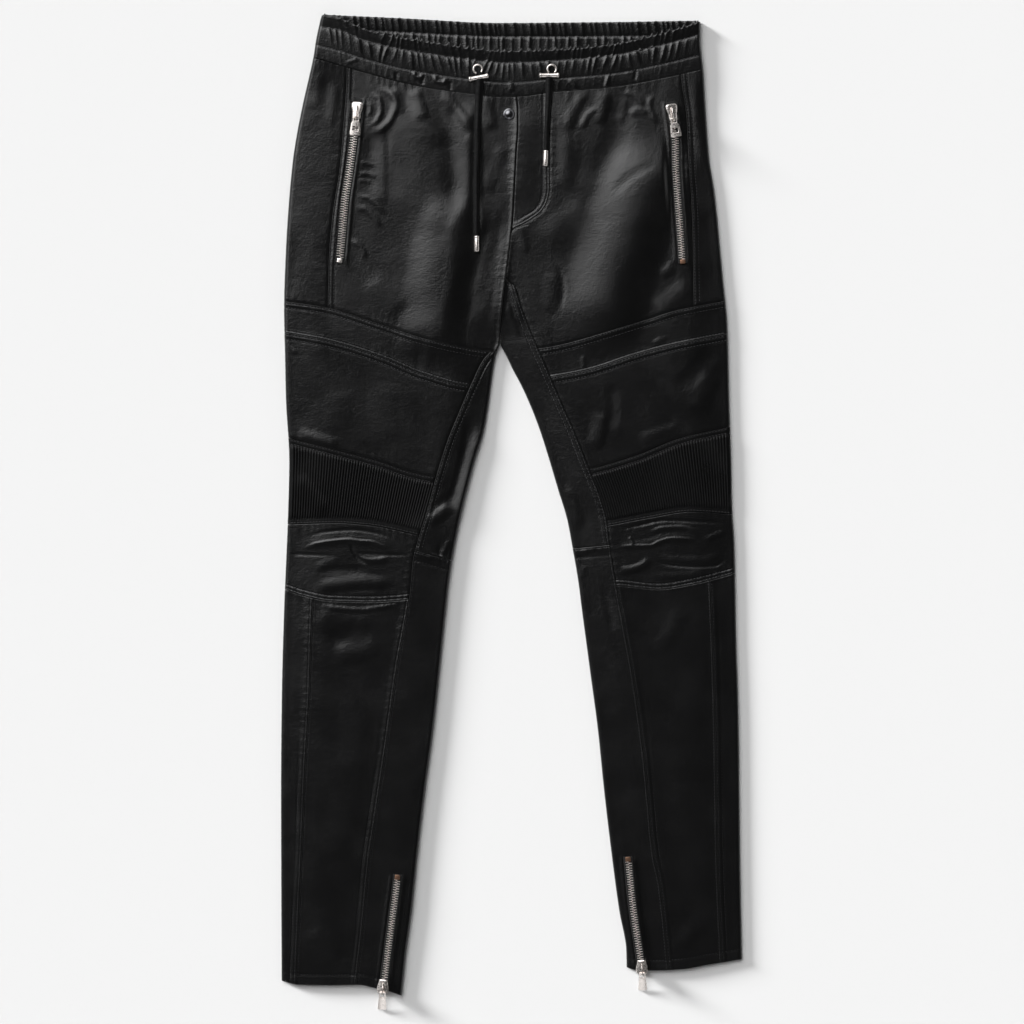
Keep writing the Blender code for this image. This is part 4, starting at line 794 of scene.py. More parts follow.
def leather_material(name, roughness=0.21, gloss=0.5, rough_grain=0.0003):
    material, nodes, shader, link = new_material(name, LEATHER_BLACK, roughness)
    patches = texture(nodes, link, "ShaderNodeTexNoise", 34, Detail=3)
    link(ramp(nodes, link, patches.outputs["Fac"], (0.3, roughness - 0.03),
              (0.7, roughness + 0.05)), shader.inputs["Roughness"])
    shader.inputs["Specular IOR Level"].default_value = gloss
    wrinkles = texture(nodes, link, "ShaderNodeTexNoise", WRINKLES, Detail=5, Distortion=0.3)
    add_bump(nodes, link, shader, wrinkles.outputs["Fac"], 0.0004, 0.4)
    grain = texture(nodes, link, "ShaderNodeTexNoise", GRAIN, Detail=3)
    add_bump(nodes, link, shader, grain.outputs["Fac"], rough_grain, 0.6)
    return material


def metal_material(name, color, roughness, scratch=0.04):
    material, nodes, shader, link = new_material(name, color, roughness, 1.0)
    marks = texture(nodes, link, "ShaderNodeTexNoise", 700, Detail=5)
    link(ramp(nodes, link, marks.outputs["Fac"], (0.35, roughness),
              (0.75, roughness + 0.18)), shader.inputs["Roughness"])
    add_bump(nodes, link, shader, marks.outputs["Fac"], 0.0001, scratch)
    return material


def woven_material(name, color, roughness, scale, depth, strength, distortion=0.0):
    material, nodes, shader, link = new_material(name, color, roughness)
    weave = texture(nodes, link, "ShaderNodeTexWave", scale, Distortion=distortion)
    weave.bands_direction = "DIAGONAL"
    add_bump(nodes, link, shader, weave.outputs["Fac"], depth, strength)
    return material


LEATHER = leather_material("leather")
HIP_LEATHER = leather_material("hip_leather", roughness=0.22, rough_grain=0.0004)
RIB_LEATHER = leather_material("rib_leather", roughness=0.3, gloss=0.13)
CORD_LEATHER = leather_material("cord_leather", roughness=0.4, gloss=0.1)
FINISHES = {"hip": HIP_LEATHER, "rib": RIB_LEATHER}
NICKEL = metal_material("nickel", (0.92, 0.86, 0.82), 0.23, scratch=0.01)
COPPER = metal_material("copper", (0.26, 0.15, 0.10), 0.36)
DARK_METAL = metal_material("gunmetal", (0.15, 0.15, 0.16), 0.10)
TAPE = woven_material("zip_tape", (0.008, 0.008, 0.008), 0.85, 900, 0.0002, 0.6, distortion=1.2)
THREAD = woven_material("thread", (0.016, 0.016, 0.017), 0.5, 2600, 0.0001, 0.5)


def settle(piece, *nodes, body=BODY):
    """Let a piece ride on its body and stand for its nodes."""
    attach(piece, body)
    if nodes:
        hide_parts(*nodes)
    return piece


# Leather panels
ALLOWANCE = 5.0     # seam allowance of the cut on every side


def declare_sheet(x, y):
    """Work out the size the panel was cut to, from its finished outline in millimetres; nothing
    uses the result.
    """
    across_runs = np.hypot(np.diff(x, axis=1), np.diff(y, axis=1)).sum(1)
    down_runs = np.hypot(np.diff(x, axis=0), np.diff(y, axis=0)).sum(0)
    width, length = across_runs.max(), down_runs.max()
    ring_x = np.concatenate((x[0], x[:, -1], x[-1, ::-1], x[::-1, 0]))
    ring_y = np.concatenate((y[0], y[:, -1], y[-1, ::-1], y[::-1, 0]))
    area = abs(np.sum(ring_x * np.roll(ring_y, -1) - ring_y * np.roll(ring_x, -1))) / 2
    round_it = across_runs[0] + across_runs[-1] + down_runs[0] + down_runs[-1]
    cut = (width + 2 * ALLOWANCE) * MM, (length + 2 * ALLOWANCE) * MM
    area = min((area + round_it * ALLOWANCE) * MM * MM, cut[0] * cut[1])


def leather_panel(name, panel):
    """Shell of one front panel, with its walls and turned-in edges."""
    x, y = panel_grid(panel)
    z = panel_surface(panel, x, y)
    low = wall_low(panel, x, y)
    if "shift" in panel:
        y = y + panel["shift"](x, y)
    near = [len(near_lines(kind)) for kind in panel["ends"]]
    rows, row_top = padded_rows(x.shape[0], *near[2:])
    columns, column_top = padded_rows(x.shape[1], *near[:2])
    pick = np.ix_(rows, columns)
    heights = np.where(row_top[:, None] & column_top[None, :], z[pick], low[pick])
    piece = grid_object(name + "_leather", x[pick], y[pick], heights,
                        FINISHES.get(panel.get("finish"), LEATHER))
    settle(piece, name)
    if name.startswith("waistband"):
        declare_sheet(x, y)
    else:
        declare_sheet(x, y)
    stitch_panel(name, panel)


# Sewing
STITCH = 3.3        # length of a stitch with its gap
STITCH_GAP = 0.9
STITCH_MARGIN = 1.4     # a row stops this far from the other borders
SEWN_DOWN = (-520.0, 530.0)     # where rows may run: down, across, on the two waistbands
SEWN_ACROSS = (-250.0, 250.0)
SEWN_BAND = (-201.0, 196.0)
SEWN_BACK_BAND = (-196.0, 196.0)
THREAD_RADIUS = 0.36
THREAD_SIDES = 5
SUNK = 0.26         # the stitches below the knees lie this much deeper
# along a stitch: share of its length, share of the thread's radius, height
STITCH_SHAPE = ((0.0, 0.35, -0.35), (0.18, 0.95, -0.02), (0.5, 1.0, 0.06), (0.82, 0.95, -0.02),
                (1.0, 0.35, -0.35))


def stitch_places(panel, side, offset):
    """Start and end points of the stitches on a row beside one border."""
    border = panel[SIDES[side]]
    upright = side in "we"
    inward = 1 if side in "ws" else -1
    t = np.arange(*(SEWN_DOWN if upright else SEWN_ACROSS), STITCH)
    points = []
    for shift in (0.0, STITCH - STITCH_GAP):
        at = t + shift
        level = border(at) + inward * (offset + SEAM / 2) * stretch(border, at)
        points.append((level, at) if upright else (at, level))
    keep = np.ones(len(t), dtype=bool)
    for x, y in points:
        keep &= (y < panel["north"](x) - STITCH_MARGIN) & (y > panel["south"](x) + STITCH_MARGIN)
        keep &= (x > panel["west"](y) + STITCH_MARGIN) & (x < panel["east"](y) - STITCH_MARGIN)
    return [np.column_stack((x[keep], y[keep])) for x, y in points]


def stitches_along(line, west, east):
    """Start and end points of the stitches on a line across."""
    t = np.arange(west, east, STITCH)
    return [np.column_stack((t + shift, line(t + shift)))
            for shift in (0.0, STITCH - STITCH_GAP)]


def stitch_mesh(name, starts, finishes, height):
    """Short rounded threads between points on a surface; height gives its z."""
    run = finishes - starts
    run = run / np.linalg.norm(run, axis=1)[:, None]
    side = np.column_stack((-run[:, 1], run[:, 0]))
    verts, faces = [], []
    angles = np.arange(THREAD_SIDES) * 2 * np.pi / THREAD_SIDES
    for share, radius, rise in STITCH_SHAPE:
        centre = mix(starts, finishes, share)
        z = height(centre[:, 0], centre[:, 1]) + rise
        for angle in angles:
            out = THREAD_RADIUS * radius
            verts.append(np.column_stack((centre + side * out * math.cos(angle),
                                          z + out * math.sin(angle))))
    verts = np.stack(verts, axis=1) * MM
    count = len(STITCH_SHAPE) * THREAD_SIDES
    for ring in range(len(STITCH_SHAPE) - 1):
        for k in range(THREAD_SIDES):
            a, b = ring * THREAD_SIDES + k, ring * THREAD_SIDES + (k + 1) % THREAD_SIDES
            faces.append((a, b, b + THREAD_SIDES, a + THREAD_SIDES))
    faces = np.array(faces)
    all_faces = (faces[None] + (np.arange(len(starts)) * count)[:, None, None]).reshape(-1, 4)
    mesh = bpy.data.meshes.new(name)
    mesh.from_pydata(verts.reshape(-1, 3).tolist(), [], all_faces.tolist())
    mesh.shade_smooth()
    mesh.materials.append(THREAD)
    settle(new_object(name, mesh))


def stitch_panel(name, panel):
    """All stitch rows of a panel as one piece."""
    rows = [stitch_places(panel, side, offset) for side, kind in zip("wens", panel["ends"])
            for offset in BORDERS.get(kind, {}).get("rows", ())]
    rows += [stitches_along(line, *SEWN_BAND) for line in panel.get("channels", ())]
    sunk = SUNK if name.startswith(("shin", "inner_leg_lower")) else 0.0
    if rows:
        starts, finishes = (np.concatenate(points) for points in zip(*rows))
        stitch_mesh(name + "_stitches", starts, finishes,
                    lambda x, y: panel_surface(panel, x, y) - sunk)


# Gathered waistband. Shares run from the rim down.
BAND_HEIGHT = curve((0, 2.3), (0.035, 3.3), (0.10, 3.1), (0.20, 2.6), (0.285, 2.1), (0.325, 2.5),
                    (0.40, 2.65), (0.52, 2.55), (0.67, 2.25), (0.70, 2.1), (0.74, 2.35),
                    (0.86, 2.25), (1.0, 1.9))
BAND_GATHER = curve((0, 0.9), (0.08, 0.6), (0.22, 0.3), (0.285, 0.35), (0.33, 1.3), (0.46, 1.1),
                    (0.58, 0.4), (0.70, 0.1), (0.76, 0.15), (0.95, 0.1), (1.0, 0.1))
BAND_LINES = (0.29, 0.70)
BAND_CALM = 34.0    # the band is smooth this near its ends
BACK_BAND_HEIGHT = curve((0, 2.0), (0.03, 2.7), (0.26, 2.1), (0.31, 1.7), (0.34, 2.4), (0.55, 2.3),
                         (1.0, 2.3))
BACK_BAND_GATHER = curve((0, 0.5), (0.06, 1.1), (0.20, 1.0), (0.31, 0.4), (0.38, 0.9), (0.6, 0.5),
                         (1.0, 0.3))
BACK_BAND_LINE = 0.31
GATHER_PITCH = 7.6
RIM_WAVE = 4.0
BACK_RIM_WAVE = 0.6
RIM_REACH = 8.0     # how far down from a rim its wave goes


def gathers(x, seed):
    """Uneven gathers along a band: narrow ridges with wide hollows at 0 between them."""
    rng = np.random.default_rng(seed)
    steps = rng.uniform(0.55, 1.45, 110) * GATHER_PITCH
    strength = rng.uniform(0.25, 1.3, 110)
    edges = np.cumsum(steps) - 320
    k = np.clip(np.searchsorted(edges, x), 1, len(edges) - 2)
    t = (x - edges[k - 1]) / (edges[k] - edges[k - 1])
    left, right = strength[k - 1], strength[k]
    return left * np.clip(1 - 2 * t, 0, 1) ** 3.2 + right * np.clip(2 * t - 1, 0, 1) ** 3.2


def band_share(panel, x, y):
    north, south = panel["north"](x), panel["south"](x)
    return np.clip((north - y) / (north - south), 0, 1)


def band_height(panel, x, y):
    v = band_share(panel, x, y)
    lean = x + 20.0 * mottle(x, 0 * x, 26, 14) * (v - 0.5)
    faded = v + 0.06 * mottle(x, 0 * x, 9, 15)
    zone = np.searchsorted(BAND_LINES, v.ravel()).reshape(v.shape)
    wave = np.choose(zone, [gathers(lean, seed) for seed in (11, 12, 13)])
    gathered = smooth(np.minimum(x - OUTER_L(y), OUTER_R(y) - x) / BAND_CALM)
    gathered = gathered * mix(0.6, 1, smooth(np.abs(x) / 110))
    return (BAND_LOW + BAND_HEIGHT(v) + BAND_GATHER(faded) * wave * gathered
            + folds_of(BAND_PUCKERS, x, y))


def back_band_height(panel, x, y):
    v = band_share(panel, x, y)
    lean = x - 9.0 * np.minimum(v - 0.3, 0)
    wave = np.where(v < BACK_BAND_LINE, gathers(lean, 21), gathers(lean, 22))
    return BACK_BAND_HEIGHT(v) + BACK_BAND_GATHER(v) * wave


# Puckers of the waistband, as in RELIEF
BAND_PUCKERS = (
    (3, 3, 0.25, (-176, 474), (-169, 477), (-161, 479)),
    (3, 3, 0.8, (-169, 469), (-165, 461), (-158, 460), (-157, 466)),
    (3, 3, 0.9, (-104, 467), (-101, 460), (-96, 459), (-94, 464)),
    (3, 3, 0.9, (-82, 463), (-79, 455), (-72, 454), (-69, 460)),
    (3, 4, 0.8, (103, 462), (101, 453), (100, 447)),
    (4, 4, 0.4, (-2, 456), (0, 450), (0, 444)),
    (3, 3, -0.5, (-122, 466), (-122, 454)),
    (3, 3, -0.5, (-94, 462), (-94, 451)),
    (3, 3, -0.5, (-65, 456), (-65, 445)),
    (4, 5, 0.5, (60, 458), (66, 452), (70, 446)),
    (3, 3, -0.5, (132, 468), (130, 456)),
)


def rim_shift(x, y):
    """The gathers push the rim up and down."""
    share = smooth(1 - (FRONT_RIM(x) - y) / RIM_REACH)
    return RIM_WAVE * share * (gathers(x, 11) - 0.35)


def band_line(share):
    return lambda x: mix(FRONT_RIM(x), WAIST(x), share)


BAND = new_panel(OUTER_L, OUTER_R, FRONT_RIM, WAIST, "outline outline rim plain",
                 height=band_height, low=BAND_LOW, fine=0.85, row_step=0.9, shift=rim_shift,
                 channels=[band_line(share) for share in BAND_LINES])


# Closed pieces
def closed_grid(name, x, y, low, high, material, holes=()):
    """Closed sheet over a grid of points, with walls round it and round its holes."""
    columns = x.shape[1]
    bm, place = new_grid(*x.shape)
    open_faces = [face for face in bm.faces
                  if divmod(min(vert[place] for vert in face.verts), columns) in holes]
    bmesh.ops.delete(bm, geom=open_faces, context="FACES")
    raised = bmesh.ops.extrude_face_region(bm, geom=bm.faces[:])["geom"]
    top = {vert for vert in raised if isinstance(vert, bmesh.types.BMVert)}
    for vert in bm.verts:
        row, column = divmod(vert[place], columns)
        height = high if vert in top else low
        vert.co = Vector((x[row, column], y[row, column], height[row, column])) * MM
    bmesh.ops.recalc_face_normals(bm, faces=bm.faces[:])
    return mesh_object(name, bm, material)


BACK_STEP = 4.0     # grid of the hidden backs
BACK_ROUND = 0.8    # radius of their edges
BACK_CENTRE = along((-3, 470), (-12.3, 177))
# Creases of the back, as in RELIEF, pressed up from the ground
BACK_RELIEF = (
    (9, 14, 0.7, (-190, 420), (-140, 360), (-60, 330)),
    (8, 12, 0.6, (-60, 400), (-90, 300), (-150, 240)),
    (9, 12, 0.7, (180, 420), (130, 350), (60, 330)),
    (8, 12, 0.6, (50, 400), (90, 310), (160, 250)),
    (8, 8, 0.7, (-226, 160), (-170, 140), (-90, 150)),
    (8, 8, 0.7, (70, 150), (150, 140), (222, 160)),
    (6, 8, 0.9, (-226, 10), (-160, -5), (-90, 5)),
    (6, 8, 0.9, (-220, -30), (-160, -40), (-90, -34)),
    (6, 8, 0.9, (84, 10), (150, 0), (226, 12)),
    (6, 8, 0.9, (90, -30), (150, -42), (226, -28)),
    (10, 12, 0.6, (-210, -180), (-170, -240), (-140, -330)),
    (10, 12, 0.6, (214, -180), (180, -250), (150, -330)),
)


def back_outer_l(y):
    return OUTER_L(y) + BACK_INSET


def back_outer_r(y):
    return OUTER_R(y) - BACK_INSET


def back_inner_l(y):
    return np.minimum(BACK_CENTRE(y), INNER_L(y) - BACK_INSET)


def back_inner_r(y):
    return np.maximum(BACK_CENTRE(y), INNER_R(y) + BACK_INSET)


def back_leg(side, west, east, hem):
    """Plain back of a leg: flat where it rests, with a few creases pressed in."""
    panel = new_panel(west, east, BACK_WAIST, hem, "plain plain plain plain", fine=BACK_STEP,
                      row_step=BACK_STEP)
    x, y = panel_grid(panel)
    edge = np.min([border_offset(panel, border, x, y)[0] for border in "wens"], axis=0)
    edge = np.maximum(edge - SEAM / 2, 0)
    creased = folds_of(BACK_RELIEF, x, y) + 0.12 * (1 + mottle(x, y, 24, 8))
    low = np.maximum(rounded_drop(edge, BACK_ROUND), creased * smooth(edge / 8))
    piece = closed_grid("back_leg_" + side + "_leather", x, y, low, np.full_like(x, BACK_HIGH),
                        LEATHER)
    settle(piece, "back_leg_" + side)
    declare_sheet(x, y)


def back_band():
    """Back of the waistband, whose inside shows above the front rim."""
    panel = new_panel(back_outer_l, back_outer_r, BACK_RIM, BACK_WAIST, "plain plain rim plain",
                      height=back_band_height, fine=1.0, row_step=1.2)
    x, y = panel_grid(panel)
    high = panel_surface(panel, x, y)
    share = smooth(1 - (BACK_RIM(x) - y) / RIM_REACH)
    y = y + BACK_RIM_WAVE * share * (gathers(x, 21) - 0.8)
    piece = closed_grid("waistband_back_leather", x, y, np.zeros_like(x), high, LEATHER)
    settle(piece, "waistband_back")
    declare_sheet(x, y)
    t = np.arange(*SEWN_BACK_BAND, STITCH)
    starts, finishes = (np.column_stack((at, mix(BACK_RIM(at), BACK_WAIST(at), BACK_BAND_LINE)))
                        for at in (t, t + STITCH - STITCH_GAP))
    stitch_mesh("waistband_back_stitches", starts, finishes,
                lambda x, y: panel_surface(panel, x, y))


# Forms swept along a path
def swept(name, path, sections, material, up=(0, 0, 1), sharp=50):
    """Closed form along a path. sections gives, for each point of the path, the points
    round it as offsets to its side and upwards; all in millimetres."""
    path = np.array(path, dtype=float)
    tangent = np.gradient(path, axis=0)
    tangent /= np.linalg.norm(tangent, axis=1)[:, None]
    side = np.cross(tangent, np.array(up, dtype=float))
    side /= np.linalg.norm(side, axis=1)[:, None]
    rise = np.cross(side, tangent)
    points = (path[:, None] + side[:, None] * sections[..., :1]
              + rise[:, None] * sections[..., 1:]) * MM
    stations, around = points.shape[:2]
    faces = []
    for k in range(stations - 1):
        for j in range(around):
            a, b = k * around + j, k * around + (j + 1) % around
            faces.append((a, b, b + around, a + around))
    faces.append(tuple(range(around))[::-1])
    faces.append(tuple(range((stations - 1) * around, stations * around)))
    bm = bmesh.new()
    verts = [bm.verts.new(point) for point in points.reshape(-1, 3)]
    for face in faces:
        bm.faces.new([verts[index] for index in face])
    bmesh.ops.recalc_face_normals(bm, faces=bm.faces[:])
    return mesh_object(name, bm, material, sharp)


def round_section(side, rise, count=16, square=1.0):
    """Points round an oval with these half sizes; square under 1 makes it boxy."""
    angle = np.arange(count) * 2 * np.pi / count
    cosine, sine = np.cos(angle), np.sin(angle)
    return np.column_stack((side * np.sign(cosine) * np.abs(cosine) ** square,
                            rise * np.sign(sine) * np.abs(sine) ** square))


def round_sections(radii, count):
    return np.stack([round_section(radius, radius, count) for radius in radii])


def box_mm(node):
    low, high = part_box(node)
    return np.array(low) / MM, np.array(high) / MM


def top_curve(node):
    """Highest z of a node as a smooth function of y, in millimetres."""
    points = np.array([vert.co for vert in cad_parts[node].data.vertices]) / MM
    places = np.linspace(points[:, 1].min(), points[:, 1].max(), 7)
    half = (places[1] - places[0]) / 1.9
    return curve(*((at, points[np.abs(points[:, 1] - at) <= half, 2].max()) for at in places))


# Zips
TAPE_HALF = 4.8
TAPE_THICK = 0.8
TOOTH_PITCH = 2.6
# Parts of a tooth: offset from the middle line, drop of its top, size across, along and high
TOOTH_PARTS = ((0.95, 0.0, (2.0, 1.35, 1.5)), (2.85, 0.6, (2.4, 0.8, 0.8)))
PRESSED = 0.8       # how far the pull tab presses the chain into its tape
PRESSED_REACH = 9.0
SLIDER_BODY = 2.6
TONGUE = 2.3
HINGE_OVER_BODY = 2.1
CROWN_HALF = 1.7
CROWN_THICK = 0.45
TAB_THICK = 1.2
TAB_BAR = 0.7
TAB_WEDGE = 0.06     # rise of the tab's top for each mm from the hinge
TAB_DOME = 0.5
EYE_HALF = 2.2
EYE_LENGTH = 4.2
SLIDER_WIDE_FAR = ((-TONGUE, 1.7), (-1.3, 1.8), (-1.2, 4.3), (5, 4.6), (11, 6.1), (14, 6.2),
                   (16, 4.6))
SLIDER_WIDE_NEAR = ((-TONGUE, 1.7), (-1.3, 1.8), (-1.2, 5.0), (2, 6.2), (6, 6.0), (10, 4.8),
                    (13.5, 4.2))
POCKET_TAB = dict(shape=((-TAB_BAR, 3.3), (TAB_BAR, 3.4), (EYE_LENGTH, 3.4), (5.3, 3.7),
                         (7.4, 4.8), (9.8, 5.0), (14.8, 5.5), (18.4, 5.7), (19.2, 5.0)),
                  window=2.9)
ANKLE_TAB = dict(shape=((-TAB_BAR, 3.3), (TAB_BAR, 3.5), (5.6, 3.7), (12, 4.1), (20.2, 4.7),
                        (21.0, 4.3)), window=None)
# For each zip: hinge axis; heading and droop of the tab and sideways lean of the metal on the
# leather's slope, in degrees; slider, tab, stop
POCKET_ZIP = dict(droop=5.0, slider=SLIDER_WIDE_FAR, tab=POCKET_TAB)
ANKLE_ZIP = dict(droop=28.0, lean=(-9.0, -9.0), wide=0.84, slider=SLIDER_WIDE_NEAR,
                 tab=ANKLE_TAB, stop=COPPER)
ZIPS = {
    "zip_pocket_l": dict(POCKET_ZIP, hinge=(-164, 417), heading=-4.5, lean=(-7.0, 3.0), wide=1.0,
                         stop=NICKEL),
    "zip_pocket_r": dict(POCKET_ZIP, hinge=(171, 415), heading=9.0, lean=(13.0, 19.0), wide=0.95,
                         stop=COPPER),
    "zip_ankle_l": dict(ANKLE_ZIP, hinge=(-136.4, -508), heading=-3.0),
    "zip_ankle_r": dict(ANKLE_ZIP, hinge=(138, -487.5), heading=3.0),
}


def zip_stations(line, y):
    """x on a zip's line and its cross direction at these heights y."""
    x_at = along(*line)
    slope = x_at(y + 0.5) - x_at(y - 0.5)
    length = np.hypot(1, slope)
    return x_at(y), 1 / length, -slope / length


def zip_tape(name, line):
    low, high = box_mm(name + "_tape")
    y = np.arange(high[1], low[1], -1.4)
    x, right_x, right_y = zip_stations(line, y)
    offset = np.array((-1, -0.94, -0.6, -0.3, 0, 0.3, 0.6, 0.94, 1)) * TAPE_HALF
    rounded = np.array((-0.35, 0, 0.04, -0.1, -0.15, -0.1, 0.04, 0, -0.35))
    top = top_curve(name + "_tape")(y)[:, None]
    piece = closed_grid(name + "_tape_weave", x[:, None] + right_x[:, None] * offset,
                        y[:, None] + right_y[:, None] * offset,
                        np.repeat(top - TAPE_THICK, len(offset), 1), top + rounded, TAPE)
    settle(piece, name + "_tape")


def zip_teeth(name, line, spec):
    """Two rows of teeth that mesh in the middle, pressed down a little under the tab."""
    wide = spec["wide"]
    pressed_at = spec["hinge"][1] - 11.0 if spec["tab"]["window"] else 1e6
    low, high = box_mm(name + "_chain")
    top_at = top_curve(name + "_chain")
    bm = bmesh.new()
    for sign, shift in ((-1, 0.0), (1, TOOTH_PITCH / 2)):
        for y in np.arange(high[1] - 1.0 - shift, low[1] + 0.6, -TOOTH_PITCH):
            x, right_x, right_y = zip_stations(line, y)
            share = (high[1] - y) / (high[1] - low[1])
            lean = mix(*spec["lean"], share)
            down = PRESSED * bump((y - pressed_at) / PRESSED_REACH)
            place = Matrix.Translation(Vector((x, y, top_at(y) - down)) * MM)
            turn = (Matrix.Rotation(math.atan2(right_y, right_x), 4, "Z")
                    @ Matrix.Rotation(math.radians(lean), 4, "Y"))
            for offset, drop, size in TOOTH_PARTS:
                middle = Vector((sign * offset * wide, 0, -drop - size[2] / 2))
                scale = Matrix.Diagonal((size[0] * wide * MM, size[1] * MM, size[2] * MM, 1))
                matrix = place @ turn @ Matrix.Translation(middle * MM) @ scale
                bmesh.ops.create_cube(bm, size=1, matrix=matrix)
    bmesh.ops.bevel(bm, geom=bm.edges[:], offset=0.36 * MM, segments=1, profile=0.5,
                    affect="EDGES")
    settle(mesh_object(name + "_teeth", bm, NICKEL), name + "_chain")


def zip_stop(name, line, material):
    low, high = box_mm(name + "_stop")
    y = np.linspace(high[1], low[1], 7)
    x, _, _ = zip_stations(line, y)
    middle = (low[2] + high[2]) / 2
    tall = (high[2] - low[2]) / 2
    size = np.array((0.75, 0.97, 1, 0.9, 1, 0.97, 0.75))
    sections = np.stack([round_section(2.9 * share, tall * share, 20, 0.5) for share in size])
    path = np.column_stack((x, y, np.full(7, middle)))
    settle(swept(name + "_crimp", path, sections, material), name + "_stop")


def zip_slider(name, spec):
    """Slider body and its arched crown, with the pull tab under it."""
    low, _ = box_mm(name + "_slider")
    body_top = low[2] + SLIDER_BODY
    hinge = Vector((*spec["hinge"], body_top))
    heading = Matrix.Rotation(math.radians(spec["heading"]), 4, "Z")
    place = Matrix.Translation(hinge * MM) @ heading
    at, half = np.array(spec["slider"]).T
    y = np.union1d(np.linspace(at[0], at[-1], 34), at)
    across_share = np.array((-1, -0.97, -0.85, -0.5, 0, 0.5, 0.85, 0.97, 1))
    dome = np.array((-1.1, -0.6, -0.12, 0.12, 0.2, 0.12, -0.12, -0.6, -1.1))
    ends_down = 0.6 * (1 - np.sqrt(np.clip(1 - (1 - np.clip((at[-1] - y) / 1.2, 0, 1)) ** 2, 0, 1)))
    x = np.interp(y, at, half)[:, None] * across_share
    top = dome[None] - ends_down[:, None] - x * math.tan(math.radians(spec["lean"][0]))
    body = closed_grid(name + "_slider_body", x, np.repeat(y[:, None], 9, 1),
                       np.full_like(x, -SLIDER_BODY), top, NICKEL)
    body.data.transform(place)
    last = at[-1] - 4.5
    roof = HINGE_OVER_BODY + 1.25 + CROWN_THICK
    arch = smooth_points(((0, -1.7, -0.5), (0, -1.75, 1.2), (0, -1.35, roof - 0.5),
                          (0, -0.2, roof), (0, last / 2, roof + 0.1), (0, last - 2.4, roof - 0.3),
                          (0, last - 1.0, roof - 1.4), (0, last - 0.7, -0.5)), 4)
    section = np.stack([round_section(CROWN_HALF, CROWN_THICK, 16, 0.45)] * len(arch))
    crown = swept(name + "_slider_crown", arch, section, NICKEL, up=(1, 0, 0.001))
    crown.data.transform(place)
    settle(body, name + "_slider")
    settle(crown)
    zip_tab(name, spec, hinge, heading)


def zip_tab(name, spec, hinge, heading):
    """Pull tab with its eye and, on the pockets, a window."""
    droop = Matrix.Rotation(math.radians(spec["droop"]), 4, "X")
    axis = Matrix.Translation((hinge + Vector((0, 0, HINGE_OVER_BODY))) * MM)
    reach, half = np.array(spec["tab"]["shape"]).T
    window = spec["tab"]["window"]
    x = np.column_stack((-half, np.full_like(half, -EYE_HALF), np.full_like(half, EYE_HALF),
                         half))
    holes = [(1, 1)]
    if window:
        x[5:7, 1], x[5:7, 2] = -window, window
        holes.append((5, 1))
    low = np.full_like(x, -TAB_THICK / 2)
    domed = TAB_WEDGE * reach[:, None] - TAB_DOME * (x / half.max()) ** 2
    tab = closed_grid(name + "_pull", x, np.repeat(-reach[:, None], 4, 1), low,
                      low + TAB_THICK + domed, NICKEL, holes)
    tab.data.transform(axis @ heading @ droop)
    edge = tab.modifiers.new("edge", "BEVEL")
    edge.width = 0.35 * MM
    edge.segments = 3
    edge.limit_method = "ANGLE"
    settle(tab, name + "_tab", body=name.replace("zip", "pull"))


def zips():
    for name, spec in ZIPS.items():
        line = ZIP_LINES[name]
        zip_tape(name, line)
        zip_teeth(name, line, spec)
        zip_stop(name, line, spec["stop"])
        zip_slider(name, spec)


# Drawcords
RING_RADIUS = 4.6
RING_WIRE = 1.0
BAR_LENGTH = 21.5
# Turned metal: share of the bar's length, or place on the aglet, and radius
BAR_SHAPE = ((0, 0.5), (0.012, 1.8), (0.03, 2.5), (0.06, 2.8), (0.1, 2.65), (0.12, 2.3),
             (0.15, 2.25), (0.5, 2.3), (0.85, 2.25), (0.88, 2.3), (0.9, 2.65), (0.94, 2.8),
             (0.97, 2.5), (0.988, 1.8), (1, 0.5))
AGLET_SHAPE = ((-1.2, 2.2), (-0.9, 2.6), (0, 2.85), (0.5, 2.85), (1.0, 2.6), (1.3, 2.45),
               (1.6, 2.6), (2.2, 2.7), (8, 2.7), (14.2, 2.7), (15.0, 2.5), (15.4, 1.9),
               (15.6, 0.6))
DRAWCORDS = {
    "l": dict(ring=(-35.7, 468), gap=70, gap_at=-75, bar=(-34.8, 458.9), tilt=11,
              route=((-33.2, 456.2, 10.3), (-34.0, 446, 9.9), (-35.2, 430, 9.1),
                     (-35.9, 400, 9.55), (-36.6, 370, 9.75), (-36.9, 340, 9.9),
                     (-36.9, 312, 9.95), (-36.8, 290.6, 9.95)),
              tip=(-36.7, 274.8, 10.0)),
    "r": dict(ring=(42.5, 468), gap=80, gap_at=-90, bar=(39.8, 461.2), tilt=0,
              route=((39.9, 458.8, 10.2), (39.6, 446, 9.9), (38.6, 428, 9.8),
                     (37.4, 405, 10.2), (36.2, 380.8, 10.4)),
              tip=(35.6, 365.3, 10.55)),
}
# half width of the flattened cord at each share of its length
CORD_HALF = curve((0, 4.0), (0.15, 3.7), (0.5, 3.0), (0.9, 2.6), (1, 2.3))
CORD_THICK = curve((0, 1.9), (0.3, 2.2), (1, 2.3))


